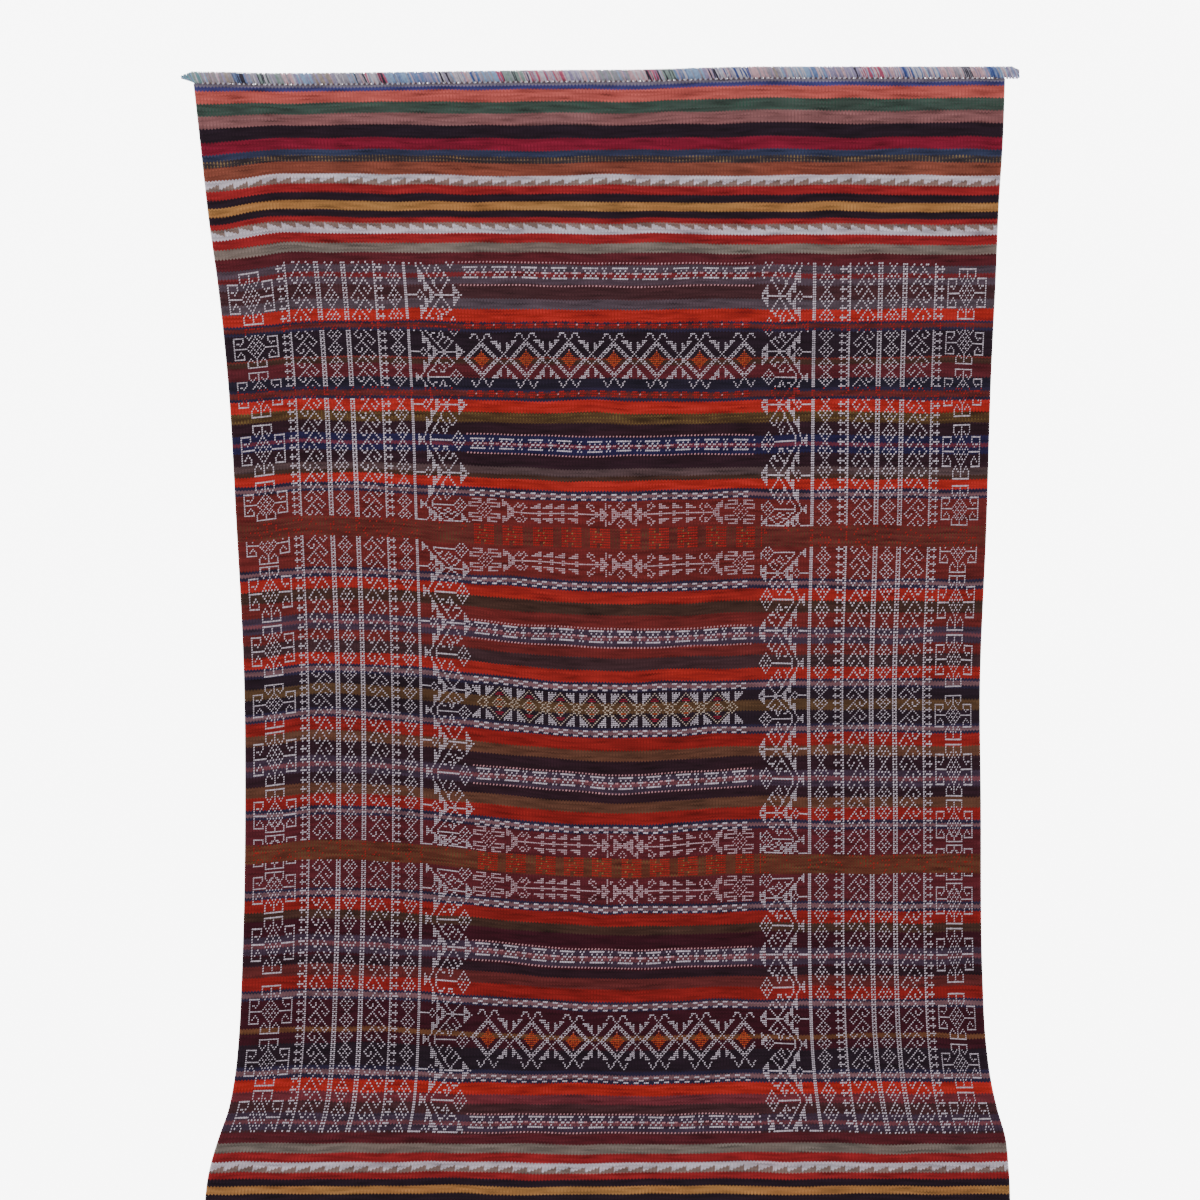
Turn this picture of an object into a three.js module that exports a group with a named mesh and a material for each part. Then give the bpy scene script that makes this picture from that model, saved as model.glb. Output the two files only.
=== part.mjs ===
// Soumak rug, laid flat. Millimetres, +Z up, the floor is z = 0.
// X runs across the rug and +Y points to its first end. A place on the cloth is given
// by "across", from 0 at the left selvedge to 1 at the right one, and by "down", the
// distance along the warp from the first end.
import * as THREE from "three";

// Driving dimensions of the cloth
const CLOTH_LENGTH = 2650;
const CLOTH_THICKNESS = 3;
const SELVEDGE_WIDTH = 16;
const SELVEDGE_THICKNESS = 4.5;
const CELLS_ACROSS = 26;
const CELLS_DOWN = 40;

// Half widths of the cloth, left and right of its middle line. It draws in towards
// the waist and flares again at both ends.
const EDGES = [
  { down: 0, left: 874, right: 871 },
  { down: 116, left: 860, right: 867 },
  { down: 275, left: 842, right: 857 },
  { down: 426, left: 821, right: 851 },
  { down: 611, left: 802, right: 842 },
  { down: 963, left: 782, right: 831 },
  { down: 1329, left: 765, right: 817 },
  { down: 1544, left: 763, right: 819 },
  { down: 1941, left: 770, right: 823 },
  { down: 2060, left: 776, right: 829 },
  { down: 2152, left: 786, right: 841 },
  { down: 2221, left: 801, right: 857 },
  { down: 2264, left: 817, right: 870 },
  { down: 2340, left: 840, right: 879 },
  { down: 2480, left: 853, right: 882 },
  { down: 2650, left: 856, right: 880 },
];

// How far the weft lines stray from straight: they rise to the left and to the right
// of the middle, and drop again at the left selvedge.
const WEFT_BOW = [
  { down: 0, leftRise: -7, rightRise: 7, leftDrop: -3 },
  { down: 200, leftRise: 4, rightRise: 0, leftDrop: 13 },
  { down: 540, leftRise: 2, rightRise: 2, leftDrop: 12 },
  { down: 716, leftRise: 6, rightRise: 2, leftDrop: 10 },
  { down: 888, leftRise: 22, rightRise: 5, leftDrop: 14 },
  { down: 1060, leftRise: 35, rightRise: 8, leftDrop: 15 },
  { down: 1232, leftRise: 40, rightRise: 8, leftDrop: 15 },
  { down: 1576, leftRise: 44, rightRise: 12, leftDrop: 14 },
  { down: 1920, leftRise: 33, rightRise: 7, leftDrop: 8 },
  { down: 2180, leftRise: 10, rightRise: 4, leftDrop: 4 },
  { down: 2650, leftRise: 0, rightRise: 0, leftDrop: 0 },
];
const MIDDLE_ACROSS = 0.515;
const LEFT_RISE_DONE = 0.8;
const RIGHT_RISE_DONE = 0.4;

// Soft ripples where the cloth lifts off the floor. "turn" is in degrees from the warp.
const RIPPLES = [
  { across: 0.5, down: 1240, long: 420, wide: 130, high: 6, turn: 4 },
  { across: 0.53, down: 1690, long: 230, wide: 150, high: 5, turn: -24 },
  { across: 0.22, down: 560, long: 330, wide: 120, high: 4, turn: 12 },
  { across: 0.8, down: 930, long: 360, wide: 120, high: 4, turn: -9 },
  { across: 0.73, down: 2130, long: 300, wide: 130, high: 5, turn: 17 },
  { across: 0.16, down: 2040, long: 310, wide: 125, high: 4, turn: -14 },
  { across: 0.42, down: 330, long: 260, wide: 120, high: 4, turn: -20 },
];

// Driving dimensions of the plaits of warp ends
const PLAIT_WIDTH = 25;
const PLAIT_THICKNESS = 8;
const PLAIT_GROOVE = 0.72;
const STRAND_PITCH = 13;
const STRAND_LEAN = 0.5;
const PLAIT_REACH = 903;
const PLAIT_GAP = 0.3;
const POINTED_TAIL = { length: 30, end: 0.12 };
const BLUNT_TAIL = { length: 12, end: 0.55 };

// Outline of a plait's section, from its cloth side over the crown and back along the
// floor. "out" is in half widths and "up" in thicknesses.
const PLAIT_SECTION = [
  { out: -1, up: 0.36 },
  { out: -0.62, up: 0.84 },
  { out: 0, up: 1 },
  { out: 0.62, up: 0.84 },
  { out: 1, up: 0.36 },
  { out: 0.72, up: 0 },
  { out: -0.72, up: 0 },
];

const clothMaterial = new THREE.MeshStandardMaterial({
  name: "woven_wool",
  color: 0x7c2a26,
  roughness: 0.95,
  metalness: 0,
});
const plaitMaterial = new THREE.MeshStandardMaterial({
  name: "plaited_warp",
  color: 0xb9b3b8,
  roughness: 0.95,
  metalness: 0,
});

// A column of a table whose rows are sorted by "down", with straight steps between rows.
function readTable(rows, column, down) {
  const next = rows.findIndex((row) => row.down >= down);
  if (next <= 0) return rows[0][column];
  const low = rows[next - 1];
  const high = rows[next];
  const part = (down - low.down) / (high.down - low.down);
  return THREE.MathUtils.lerp(low[column], high[column], part);
}

function rise(value, done) {
  return THREE.MathUtils.smoothstep(value, 0, done);
}

// How far a weft line lies above its height in the middle of the rug.
function weftRise(across, down) {
  if (across > MIDDLE_ACROSS) {
    const right = (across - MIDDLE_ACROSS) / (1 - MIDDLE_ACROSS);
    return readTable(WEFT_BOW, "rightRise", down) * rise(right, RIGHT_RISE_DONE);
  }
  const left = (MIDDLE_ACROSS - across) / MIDDLE_ACROSS;
  const lifted = readTable(WEFT_BOW, "leftRise", down) * rise(left, LEFT_RISE_DONE);
  const dropped = rise(left - LEFT_RISE_DONE, 1 - LEFT_RISE_DONE);
  return lifted - readTable(WEFT_BOW, "leftDrop", down) * dropped;
}

// The place of a point of the cloth seen from above.
function placeOnFloor(across, down) {
  const left = -readTable(EDGES, "left", down);
  const right = readTable(EDGES, "right", down);
  const x = THREE.MathUtils.lerp(left, right, across);
  const y = CLOTH_LENGTH / 2 - down + weftRise(across, down);
  return new THREE.Vector2(x, y);
}

// The height of the cloth's underside: zero but for the ripples.
function lift(place) {
  let height = 0;
  for (const ripple of RIPPLES) {
    const centre = placeOnFloor(ripple.across, ripple.down);
    const turn = THREE.MathUtils.degToRad(ripple.turn);
    const offset = place.clone().sub(centre).rotateAround(new THREE.Vector2(), turn);
    const reach = (offset.x / ripple.wide) ** 2 + (offset.y / ripple.long) ** 2;
    if (reach < 1) height += ripple.high * (1 - reach) ** 2;
  }
  return height;
}

// A closed mesh from quads and triangles given as rows of vertex numbers.
function meshFrom(name, material, points, faces) {
  const geometry = new THREE.BufferGeometry().setFromPoints(points);
  const corners = [];
  for (const face of faces) {
    for (let last = 2; last < face.length; last += 1) {
      corners.push(face[0], face[last - 1], face[last]);
    }
  }
  geometry.setIndex(corners);
  geometry.computeVertexNormals();
  const mesh = new THREE.Mesh(geometry, material);
  mesh.name = name;
  return mesh;
}

// Places of the grid's columns: two narrow ones at each selvedge, even ones between.
function clothColumns() {
  const selvedge = SELVEDGE_WIDTH / (EDGES[0].left + EDGES[0].right);
  const columns = [0, selvedge / 2];
  for (let cell = 0; cell <= CELLS_ACROSS; cell += 1) {
    columns.push(THREE.MathUtils.lerp(selvedge, 1 - selvedge, cell / CELLS_ACROSS));
  }
  columns.push(1 - selvedge / 2, 1);
  return columns;
}

function thicknessAt(column, lastColumn) {
  const inSelvedge = column <= 1 || column >= lastColumn - 1;
  return inSelvedge ? SELVEDGE_THICKNESS : CLOTH_THICKNESS;
}

function makeCloth() {
  const columns = clothColumns();
  const lastColumn = columns.length - 1;
  const upper = [];
  const under = [];
  for (let row = 0; row <= CELLS_DOWN; row += 1) {
    columns.forEach((across, column) => {
      const place = placeOnFloor(across, (CLOTH_LENGTH * row) / CELLS_DOWN);
      const height = lift(place);
      under.push(new THREE.Vector3(place.x, place.y, height));
      const top = height + thicknessAt(column, lastColumn);
      upper.push(new THREE.Vector3(place.x, place.y, top));
    });
  }
  const perRow = columns.length;
  const underStart = upper.length;
  const faces = [];
  for (let row = 0; row < CELLS_DOWN; row += 1) {
    for (let column = 0; column < lastColumn; column += 1) {
      const corner = row * perRow + column;
      const quad = [corner, corner + perRow, corner + perRow + 1, corner + 1];
      faces.push(quad);
      faces.push(quad.map((number) => number + underStart).reverse());
    }
  }
  const wall = (first, second) => {
    faces.push([first, second, second + underStart, first + underStart]);
  };
  for (let row = 0; row < CELLS_DOWN; row += 1) {
    const start = row * perRow;
    wall(start + perRow, start);
    wall(start + lastColumn, start + perRow + lastColumn);
  }
  const lastRow = CELLS_DOWN * perRow;
  for (let column = 0; column < lastColumn; column += 1) {
    wall(column, column + 1);
    wall(lastRow + column + 1, lastRow + column);
  }
  return meshFrom("rug_cloth", clothMaterial, [...upper, ...under], faces);
}

// The cloth's end line, with straight steps between the grid's columns, as its edge has.
function endLine(end, x) {
  const line = clothColumns().map((across) => placeOnFloor(across, end.down));
  if (x <= line[0].x) return line[0].y;
  const next = line.findIndex((point) => point.x >= x);
  if (next < 0) return line[line.length - 1].y;
  const low = line[next - 1];
  const high = line[next];
  return THREE.MathUtils.mapLinear(x, low.x, high.x, low.y, high.y);
}

// How wide the plait is at a place along it, as a part of its full width.
function plaitTaper(along) {
  const toPoint = (along + PLAIT_REACH) / POINTED_TAIL.length;
  const toBlunt = (PLAIT_REACH - along) / BLUNT_TAIL.length;
  const pointed = THREE.MathUtils.lerp(POINTED_TAIL.end, 1, Math.min(1, toPoint));
  const blunt = THREE.MathUtils.lerp(BLUNT_TAIL.end, 1, Math.min(1, toBlunt));
  return Math.min(pointed, blunt);
}

// An oblique plait along one end. "side" turns the far end's plait half round.
function makePlait(name, end) {
  const halfWidth = PLAIT_WIDTH / 2;
  const steps = 2 * Math.round((2 * PLAIT_REACH) / STRAND_PITCH);
  const points = [];
  for (let step = 0; step <= steps; step += 1) {
    const along = THREE.MathUtils.lerp(-PLAIT_REACH, PLAIT_REACH, step / steps);
    const taper = plaitTaper(along);
    const crest = step % 2 === 0 ? 1 : PLAIT_GROOVE;
    for (const corner of PLAIT_SECTION) {
      const lean = step === 0 || step === steps ? 0 : STRAND_LEAN * corner.out;
      const leaned = along - lean * STRAND_PITCH;
      const x = end.side * THREE.MathUtils.clamp(leaned, -PLAIT_REACH, PLAIT_REACH);
      const out = PLAIT_GAP + halfWidth * (1 + corner.out * taper);
      const y = endLine(end, x) + end.side * out;
      const z = corner.up * PLAIT_THICKNESS * crest * Math.sqrt(taper);
      points.push(new THREE.Vector3(x, y, z));
    }
  }
  const ring = PLAIT_SECTION.length;
  const faces = [];
  for (let step = 0; step < steps; step += 1) {
    for (let corner = 0; corner < ring; corner += 1) {
      const here = step * ring;
      const next = (corner + 1) % ring;
      faces.push([here + corner, here + ring + corner, here + ring + next, here + next]);
    }
  }
  const firstRing = PLAIT_SECTION.map((_, corner) => corner);
  const lastRing = firstRing.map((corner) => steps * ring + corner);
  faces.push(firstRing);
  faces.push(lastRing.reverse());
  return meshFrom(name, plaitMaterial, points, faces);
}

const rug = new THREE.Group();
rug.name = "soumak_rug";
rug.add(makeCloth());
rug.add(makePlait("end_plait_first", { side: 1, down: 0 }));
rug.add(makePlait("end_plait_second", { side: -1, down: CLOTH_LENGTH }));

// The origin is the middle of the rug's outline, on the floor.
const middle = new THREE.Box3().setFromObject(rug).getCenter(new THREE.Vector3());
rug.position.set(-middle.x, -middle.y, 0);

export default rug;
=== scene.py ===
# %% [markdown]
# A soumak rug, laid flat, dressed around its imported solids.
# The real rug is wool woven on a simple loom: plain stripes of packed weft, and over them
# thousands of short floats of pale yarn, each wrapped round a few warps. The solids give its
# size and outline. This lesson adds the stripes, the floats and the plaited ends.

import math

import bpy
import numpy as np
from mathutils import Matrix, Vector


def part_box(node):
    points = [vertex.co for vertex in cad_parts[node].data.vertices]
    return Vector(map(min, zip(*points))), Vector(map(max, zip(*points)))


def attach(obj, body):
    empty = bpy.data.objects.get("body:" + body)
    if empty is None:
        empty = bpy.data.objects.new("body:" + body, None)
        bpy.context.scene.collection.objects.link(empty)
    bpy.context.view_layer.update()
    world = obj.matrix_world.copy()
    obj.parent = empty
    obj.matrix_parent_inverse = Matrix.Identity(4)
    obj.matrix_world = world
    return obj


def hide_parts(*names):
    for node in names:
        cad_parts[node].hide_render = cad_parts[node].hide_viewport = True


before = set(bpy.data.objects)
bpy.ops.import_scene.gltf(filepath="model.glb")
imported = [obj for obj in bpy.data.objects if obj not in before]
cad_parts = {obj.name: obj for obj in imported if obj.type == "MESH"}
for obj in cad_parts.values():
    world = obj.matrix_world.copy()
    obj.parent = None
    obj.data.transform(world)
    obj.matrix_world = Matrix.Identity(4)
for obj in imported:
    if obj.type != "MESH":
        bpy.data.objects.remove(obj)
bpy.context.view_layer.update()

# %% [markdown]
# A hand-woven rug is never a true rectangle. This one draws in towards its waist, and its
# weft lines bow. Both are short tables of real sizes, read with a smooth curve between
# rows, so that one function can put any point of the cloth in its place. Soft ripples lift
# it off the floor here and there, and small waves let its lines stray.

# %% Sizes of the cloth
MM = 0.001
CLOTH_LENGTH = 2650 * MM
CLOTH_THICKNESS = 3 * MM
SELVEDGE_WIDTH = 16 * MM
SELVEDGE_THICKNESS = 4.5 * MM
MIDDLE_ACROSS = 0.515
LEFT_RISE_DONE = 0.8
RIGHT_RISE_DONE = 0.4
CALM_RIM = 0.04
CALM_END = 20 * MM
RIM_POINTS = 400


def table(columns, rows, unit=1.0):
    """A table as one array for each named column."""
    values = np.array(rows, float).T * unit
    return dict(zip(columns.split(), values))


EDGES = table("down left right", [
    (0, 874, 871), (116, 860, 867), (275, 842, 857), (426, 821, 851), (611, 802, 842),
    (963, 782, 831), (1329, 765, 817), (1544, 763, 819), (1941, 770, 823), (2060, 776, 829),
    (2152, 786, 841), (2221, 801, 857), (2264, 817, 870), (2340, 840, 879), (2480, 853, 882),
    (2650, 856, 880),
], MM)
WEFT_BOW = table("down left_rise right_rise left_drop", [
    (0, -7, 7, -3), (100, -1, 3, 10), (200, 4, 0, 18), (540, 2, 2, 14), (716, 6, 2, 10),
    (888, 22, 5, 14), (1060, 35, 8, 15), (1232, 40, 8, 15), (1576, 44, 12, 14),
    (1920, 33, 7, 8), (2180, 10, 4, 4), (2650, 0, 0, 0),
], MM)
RIPPLES = [
    dict(across=0.5, down=1.240, long=0.42, wide=0.13, high=0.006, turn=4),
    dict(across=0.53, down=1.690, long=0.23, wide=0.15, high=0.005, turn=-24),
    dict(across=0.22, down=0.560, long=0.33, wide=0.12, high=0.004, turn=12),
    dict(across=0.8, down=0.930, long=0.36, wide=0.12, high=0.004, turn=-9),
    dict(across=0.73, down=2.130, long=0.3, wide=0.13, high=0.005, turn=17),
    dict(across=0.16, down=2.040, long=0.31, wide=0.125, high=0.004, turn=-14),
    dict(across=0.42, down=0.330, long=0.26, wide=0.12, high=0.004, turn=-20),
]
WAVES = table("across down turn high", [
    (1.3, 4, 0.2, 0.9), (2.7, 7, 1.9, 0.8), (4.1, -5, 3.1, 0.7), (5.6, 11, 4.4, 0.6),
    (7.9, -9, 5.6, 0.5), (3.4, 17, 0.9, 0.5), (9.5, 13, 2.6, 0.4), (12.2, -19, 3.8, 0.35),
])
print("cloth", CLOTH_LENGTH, "m long,", len(RIPPLES), "ripples,", len(WAVES["high"]), "waves")

# %% Where a point of the cloth lies


def smooth_between(x, xs, ys):
    """A smooth curve through the points (xs, ys), read at x."""
    slopes = np.gradient(ys, xs)
    low = np.clip(np.searchsorted(xs, x) - 1, 0, len(xs) - 2)
    span = xs[low + 1] - xs[low]
    t = np.clip((x - xs[low]) / span, 0, 1)
    start = (1 + 2 * t) * (1 - t) ** 2 * ys[low] + t * (1 - t) ** 2 * span * slopes[low]
    end = t * t * (3 - 2 * t) * ys[low + 1] + t * t * (t - 1) * span * slopes[low + 1]
    return start + end


def smooth_step(value, done):
    """Rises from 0 at value 0 to 1 at value done."""
    t = np.clip(value / done, 0, 1)
    return t * t * (3 - 2 * t)


def read(rows, column, down):
    """One column of a table, at a place down the cloth."""
    return smooth_between(down, rows["down"], rows[column])


def weft_rise(across, down):
    """How far a weft line lies above its height in the middle of the rug."""
    right = (across - MIDDLE_ACROSS) / (1 - MIDDLE_ACROSS)
    left = -(across - MIDDLE_ACROSS) / MIDDLE_ACROSS
    right_rise = read(WEFT_BOW, "right_rise", down) * smooth_step(right, RIGHT_RISE_DONE)
    left_rise = read(WEFT_BOW, "left_rise", down) * smooth_step(left, LEFT_RISE_DONE)
    dropped = smooth_step(left - LEFT_RISE_DONE, 1 - LEFT_RISE_DONE)
    return right_rise + left_rise - read(WEFT_BOW, "left_drop", down) * dropped


def wander(across, down):
    """How far the weaver's lines stray, in metres, dying out at the cloth's rim."""
    stray = np.zeros(np.broadcast(across, down).shape)
    for wave_across, wave_down, turn, high in zip(*WAVES.values()):
        phase = 2 * math.pi * (wave_across * across + wave_down * down / CLOTH_LENGTH) + turn
        stray = stray + high * MM * np.sin(phase)
    rim = np.minimum(smooth_step(across, CALM_RIM), smooth_step(1 - across, CALM_RIM))
    ends = np.minimum(smooth_step(down, CALM_END), smooth_step(CLOTH_LENGTH - down, CALM_END))
    return stray * rim * ends


def on_plan(across, down):
    """The cloth seen from above, before it is moved to the frame's origin."""
    left = -read(EDGES, "left", down)
    right = read(EDGES, "right", down)
    rise = weft_rise(across, down) + wander(across, down)
    return left + (right - left) * across, CLOTH_LENGTH / 2 - down + rise


def lift(x, y):
    """How far the ripples raise the cloth off the floor."""
    height = np.zeros_like(x)
    for ripple in RIPPLES:
        centre_x, centre_y = on_plan(np.array(ripple["across"]), np.array(ripple["down"]))
        turn = math.radians(ripple["turn"])
        side = (x - centre_x) * math.cos(turn) - (y - centre_y) * math.sin(turn)
        along = (x - centre_x) * math.sin(turn) + (y - centre_y) * math.cos(turn)
        reach = (side / ripple["wide"]) ** 2 + (along / ripple["long"]) ** 2
        height += ripple["high"] * np.clip(1 - reach, 0, None) ** 2
    return height


edge_across, edge_down = np.meshgrid([0.0, 1.0], np.linspace(0, CLOTH_LENGTH, RIM_POINTS))
end_across, end_down = np.meshgrid(np.linspace(0, 1, RIM_POINTS), [0.0, CLOTH_LENGTH])
rim_x, rim_y = on_plan(np.append(edge_across, end_across), np.append(edge_down, end_down))
box_low, box_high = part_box("rug_cloth")
SHIFT_X = (box_low.x + box_high.x - rim_x.min() - rim_x.max()) / 2
SHIFT_Y = (box_low.y + box_high.y - rim_y.min() - rim_y.max()) / 2


def on_cloth(across, down):
    """The underside of the cloth in the rug's frame."""
    x, y = on_plan(across, down)
    return x + SHIFT_X, y + SHIFT_Y, lift(x, y)


print("moved to the frame by", round(SHIFT_X, 4), round(SHIFT_Y, 4), "m")

# %% [markdown]
# The camera and the light come before the cloth, so that every later step can be looked at.
# The rug is seen square on, so the camera hangs straight above it. The picture is 1200 pixels
# wide and a pixel of it covers 2.15 mm of the floor, which fixes how high the camera hangs.

# %% Camera, floor and soft light
PICTURE_WIDTH = 1200
PIXEL = 2.15 * MM
FIRST_END_PIXEL = 82
LENS = 50
SENSOR = 36
FLOOR_SIDE = 14
FLOOR_COLOUR = (0.93, 0.93, 0.93, 1)
FLOOR_ROUGHNESS = 0.8
FLOOR_GLOW = 7
LIGHT_COLOUR = (1, 1, 1, 1)
SKY_STRENGTH = 0.75
SOFTBOX_SIDE = 2.4
SOFTBOXES = {
    "softbox_left": dict(place=(-3.2, 1.8, 3.6), power=90),
    "softbox_right": dict(place=(3.2, 2.2, 3.6), power=70),
}
picture_centre_y = CLOTH_LENGTH / 2 - (PICTURE_WIDTH / 2 - FIRST_END_PIXEL) * PIXEL + SHIFT_Y
camera_height = PICTURE_WIDTH * PIXEL * LENS / SENSOR

camera_data = bpy.data.cameras.new("camera")
camera_data.lens = LENS
camera_data.sensor_width = SENSOR
camera = bpy.data.objects.new("camera", camera_data)
camera.location = (SHIFT_X, picture_centre_y, camera_height)
bpy.context.scene.collection.objects.link(camera)
bpy.context.scene.camera = camera


def make_floor():
    """A pale floor that glows a little, so that it stays pale in the picture."""
    half = FLOOR_SIDE / 2
    mesh = bpy.data.meshes.new("floor")
    corners = [(-half, -half, 0), (half, -half, 0), (half, half, 0), (-half, half, 0)]
    mesh.from_pydata(corners, [], [(0, 1, 2, 3)])
    floor = bpy.data.objects.new("floor", mesh)
    bpy.context.scene.collection.objects.link(floor)
    material = bpy.data.materials.new("pale_floor")
    material.use_nodes = True
    shader = material.node_tree.nodes["Principled BSDF"]
    shader.inputs["Base Color"].default_value = FLOOR_COLOUR
    shader.inputs["Roughness"].default_value = FLOOR_ROUGHNESS
    shader.inputs["Emission Color"].default_value = LIGHT_COLOUR
    shader.inputs["Emission Strength"].default_value = FLOOR_GLOW
    mesh.materials.append(material)


def make_softbox(name, place, power):
    """A square lamp that points at the middle of the rug."""
    light = bpy.data.lights.new(name, "AREA")
    light.energy = power
    light.size = SOFTBOX_SIDE
    lamp = bpy.data.objects.new(name, light)
    lamp.location = place
    target = Vector((0, 0, 0)) - Vector(place)
    lamp.rotation_euler = target.to_track_quat("-Z", "Y").to_euler()
    bpy.context.scene.collection.objects.link(lamp)


def make_sky():
    """Even light from all round."""
    world = bpy.data.worlds.new("studio")
    world.use_nodes = True
    background = world.node_tree.nodes["Background"]
    background.inputs["Color"].default_value = LIGHT_COLOUR
    background.inputs["Strength"].default_value = SKY_STRENGTH
    bpy.context.scene.world = world


make_floor()
for name, softbox in SOFTBOXES.items():
    make_softbox(name, **softbox)
make_sky()
print("camera", round(camera_height, 3), "m above the floor")

# %% [markdown]
# The weaver works from a plan: so many shots of one colour, then the next. Here each row of
# the plan is one section of the rug: the motif of its middle field, how many rows of floats
# cross it, and its stripes in order. Stripe heights were measured in pixels of the picture,
# and the whole plan is then stretched to the cloth's length.

# %% The weaving plan
MAROON_STRIP = "maroon 3, slate_blue 7.5, dark_red 5, slate_blue 7.5, dark_brown 2.5"
ROYAL_STRIP = "purple_black 2, royal 7, royal_line 4, royal 7, purple_black 2"
VIOLET_STRIP = "{0} 2, violet 6.5, rose_line 4, violet 6.5, {0} 2"
BONE_STRIP = "navy 2.9, mauve 4, navy 2.8"

FIRST_PANEL = [
    ("plain", 0, "slate 2.6, ink_blue 4, coral 11.9, green 12, rose 12.2, black 13.3"),
    ("plain", 0, "crimson 12.3, blue 5.7, speckled 7, rust 13"),
    ("teeth_up", 0, "white 5, grey_brown 5"),
    ("plain", 0, "red 8.7, black 7.8, mustard 8.5, black 7, red 6"),
    ("teeth_down", 0, "grey_brown 5, white 5"),
    ("plain", 0, "red 9.8, warm_grey 9.2, maroon 9.5"),
]
MIDDLE = [
    ("boxes", 10, MAROON_STRIP),
    ("plain", 14, "dark_brown 11.5, slate_brown 10.5, bright_red 11.5"),
    ("red_bones", 4, "navy 2.5, red_brown 5, navy 2.5"),
    ("big_diamonds", 31, "black 26, red_line 2, dark_olive 5, maroon 14, navy_black 10"),
    ("red_bones", 5, "navy 3, red_brown 6, navy 3"),
    ("plain", 15, "bright_red 12.5, olive 10.5, purple_black 11.5"),
    ("boxes", 9, ROYAL_STRIP),
    ("plain", 14, "purple_black 11.5, mauve_grey 8, dark_olive 5, bright_red 10"),
    ("bones", 4, BONE_STRIP),
    ("trees", 15, "brick 27.8"),
    ("bricks", 8, "brick_olive 21"),
    ("trees", 17, "brick 32"),
    ("bones", 4, BONE_STRIP),
    ("plain", 14, "middle_red 12.3, umber 12, brick 12"),
    ("boxes", 8, VIOLET_STRIP.format("brick")),
    ("plain", 14, "brick 8.7, plum_grey 13, middle_red 11.7"),
    ("bones", 4, BONE_STRIP),
    ("small_diamonds", 20, "black 11.5, gold 11, black 13.2"),
    ("bones", 4, BONE_STRIP),
    # In these middle sections the red is a darker copy of the bright red, as painted shade.
    ("plain", 14, "deep_red 12.6, olive_brown 11, purple_black 12"),
    ("boxes", 8, VIOLET_STRIP.format("purple_black")),
    ("plain", 14, "purple_black 8.5, olive_brown 10.2, deep_red 12"),
    ("bones", 4, BONE_STRIP),
    ("trees", 13, "maroon 24.5"),
    ("bricks", 8, "brick_gold 19"),
    ("trees", 14, "maroon 26.5"),
    ("bones", 4, BONE_STRIP),
    ("plain", 14, "deep_red 12, dark_olive 9.3, purple 13"),
    ("boxes", 8, VIOLET_STRIP.format("purple")),
    ("plain", 13, "purple_black 8.5, red_brown 11, deep_red 12"),
    ("bones", 4, BONE_STRIP),
    ("big_diamonds", 33, "purple 25, gold_line 5, purple 10, black 21"),
    ("bones", 5, "navy 3.4, mauve 5, navy 3.4"),
    ("plain", 12, "bright_red 12, rose_brown 9, dark_brown 9"),
    ("boxes", 8, VIOLET_STRIP.format("dark_brown")),
]


def turned(sections):
    """The same sections woven in the other direction."""
    other = {"teeth_up": "teeth_down", "teeth_down": "teeth_up"}
    back = []
    for motif, rows, stripes in reversed(sections):
        back.append((other.get(motif, motif), rows, ", ".join(reversed(stripes.split(", ")))))
    return back


def read_plan(sections):
    """Stripes as (yarn, start, height), sections as (motif, first row, rows, start, height)."""
    stripes, blocks = [], []
    down, row = 0.0, 0
    for motif, rows, text in sections:
        start = down
        for entry in text.split(", "):
            yarn, height = entry.split()
            stripes.append((yarn, down, float(height) * MM))
            down += float(height) * MM
        blocks.append((motif, row, rows, start, down - start))
        row += rows
    scale = CLOTH_LENGTH / down
    stripes = [(yarn, start * scale, height * scale) for yarn, start, height in stripes]
    blocks = [(*block[:3], block[3] * scale, block[4] * scale) for block in blocks]
    print("the plan is", round(down / MM, 1), "pixels long")
    return stripes, blocks, row


STRIPES, BLOCKS, CHART_ROWS = read_plan(FIRST_PANEL + MIDDLE + turned(FIRST_PANEL))
print(len(STRIPES), "stripes,", len(BLOCKS), "sections,", CHART_ROWS, "rows of floats")

# %% [markdown]
# Colours of the wools. A picture's colours are sRGB, and Blender's shaders want linear light,
# so each hex colour goes through one small function. Between two warps lies a furrow: in a few
# stripes a second wool glints there, and in the others the stripe's own wool is painted darker
# there as shade.

# %% Colours of the wools


def linear(hex_colour):
    """A linear colour from six hex digits of sRGB, by the curve of the sRGB standard."""
    parts = np.array([int(hex_colour[place:place + 2], 16) for place in (0, 2, 4)]) / 255
    low = parts / 12.92
    high = ((parts + 0.055) / 1.055) ** 2.4
    return tuple(np.where(parts <= 0.04045, low, high)) + (1.0,)


STRIPE_WOOLS = {
    "slate": "6E6676", "ink_blue": "39376A", "slate_blue": "483842", "slate_brown": "4A3C44",
    "navy": "261F36", "coral": "AC4E48", "green": "39443E", "rose": "7A4F50", "black": "22151F",
    "crimson": "70152A", "blue": "2C3048", "speckled": "322A2E", "rust": "763D30",
    "white": "B9ADB8", "grey_brown": "78625C", "red": "861F22", "mustard": "9A6A3C",
    "warm_grey": "6C605A", "maroon": "501B22", "dark_red": "642024", "dark_brown": "3E2226",
    "red_brown": "582222", "red_line": "642522", "navy_black": "1E1826", "olive": "48321F",
    "purple_black": "2A151E", "royal": "1F1A3C", "royal_line": "5A2434", "mauve_grey": "4C383A",
    "dark_olive": "3E2720", "mauve": "6A4A50", "brick": "60201F", "brick_olive": "5A2320",
    "olive_brown": "583629", "umber": "3C2620", "violet": "3A2A3A", "rose_line": "64363E",
    "gold": "4E3624", "gold_line": "5E3A26", "purple": "360F1A", "plum_grey": "382226",
    "brick_gold": "5A2C20", "bright_red": "9C221D", "middle_red": "8C201B",
    # The darkest red here is the bright red darkened, as painted shade over the middle of the rug.
    "deep_red": "7E1B18", "rose_brown": "64272F",
}
# Painted shade: in a furrow without a second wool, the stripe's wool is darkened to this share.
FURROW_PAINTED_SHADE = 0.7
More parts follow.
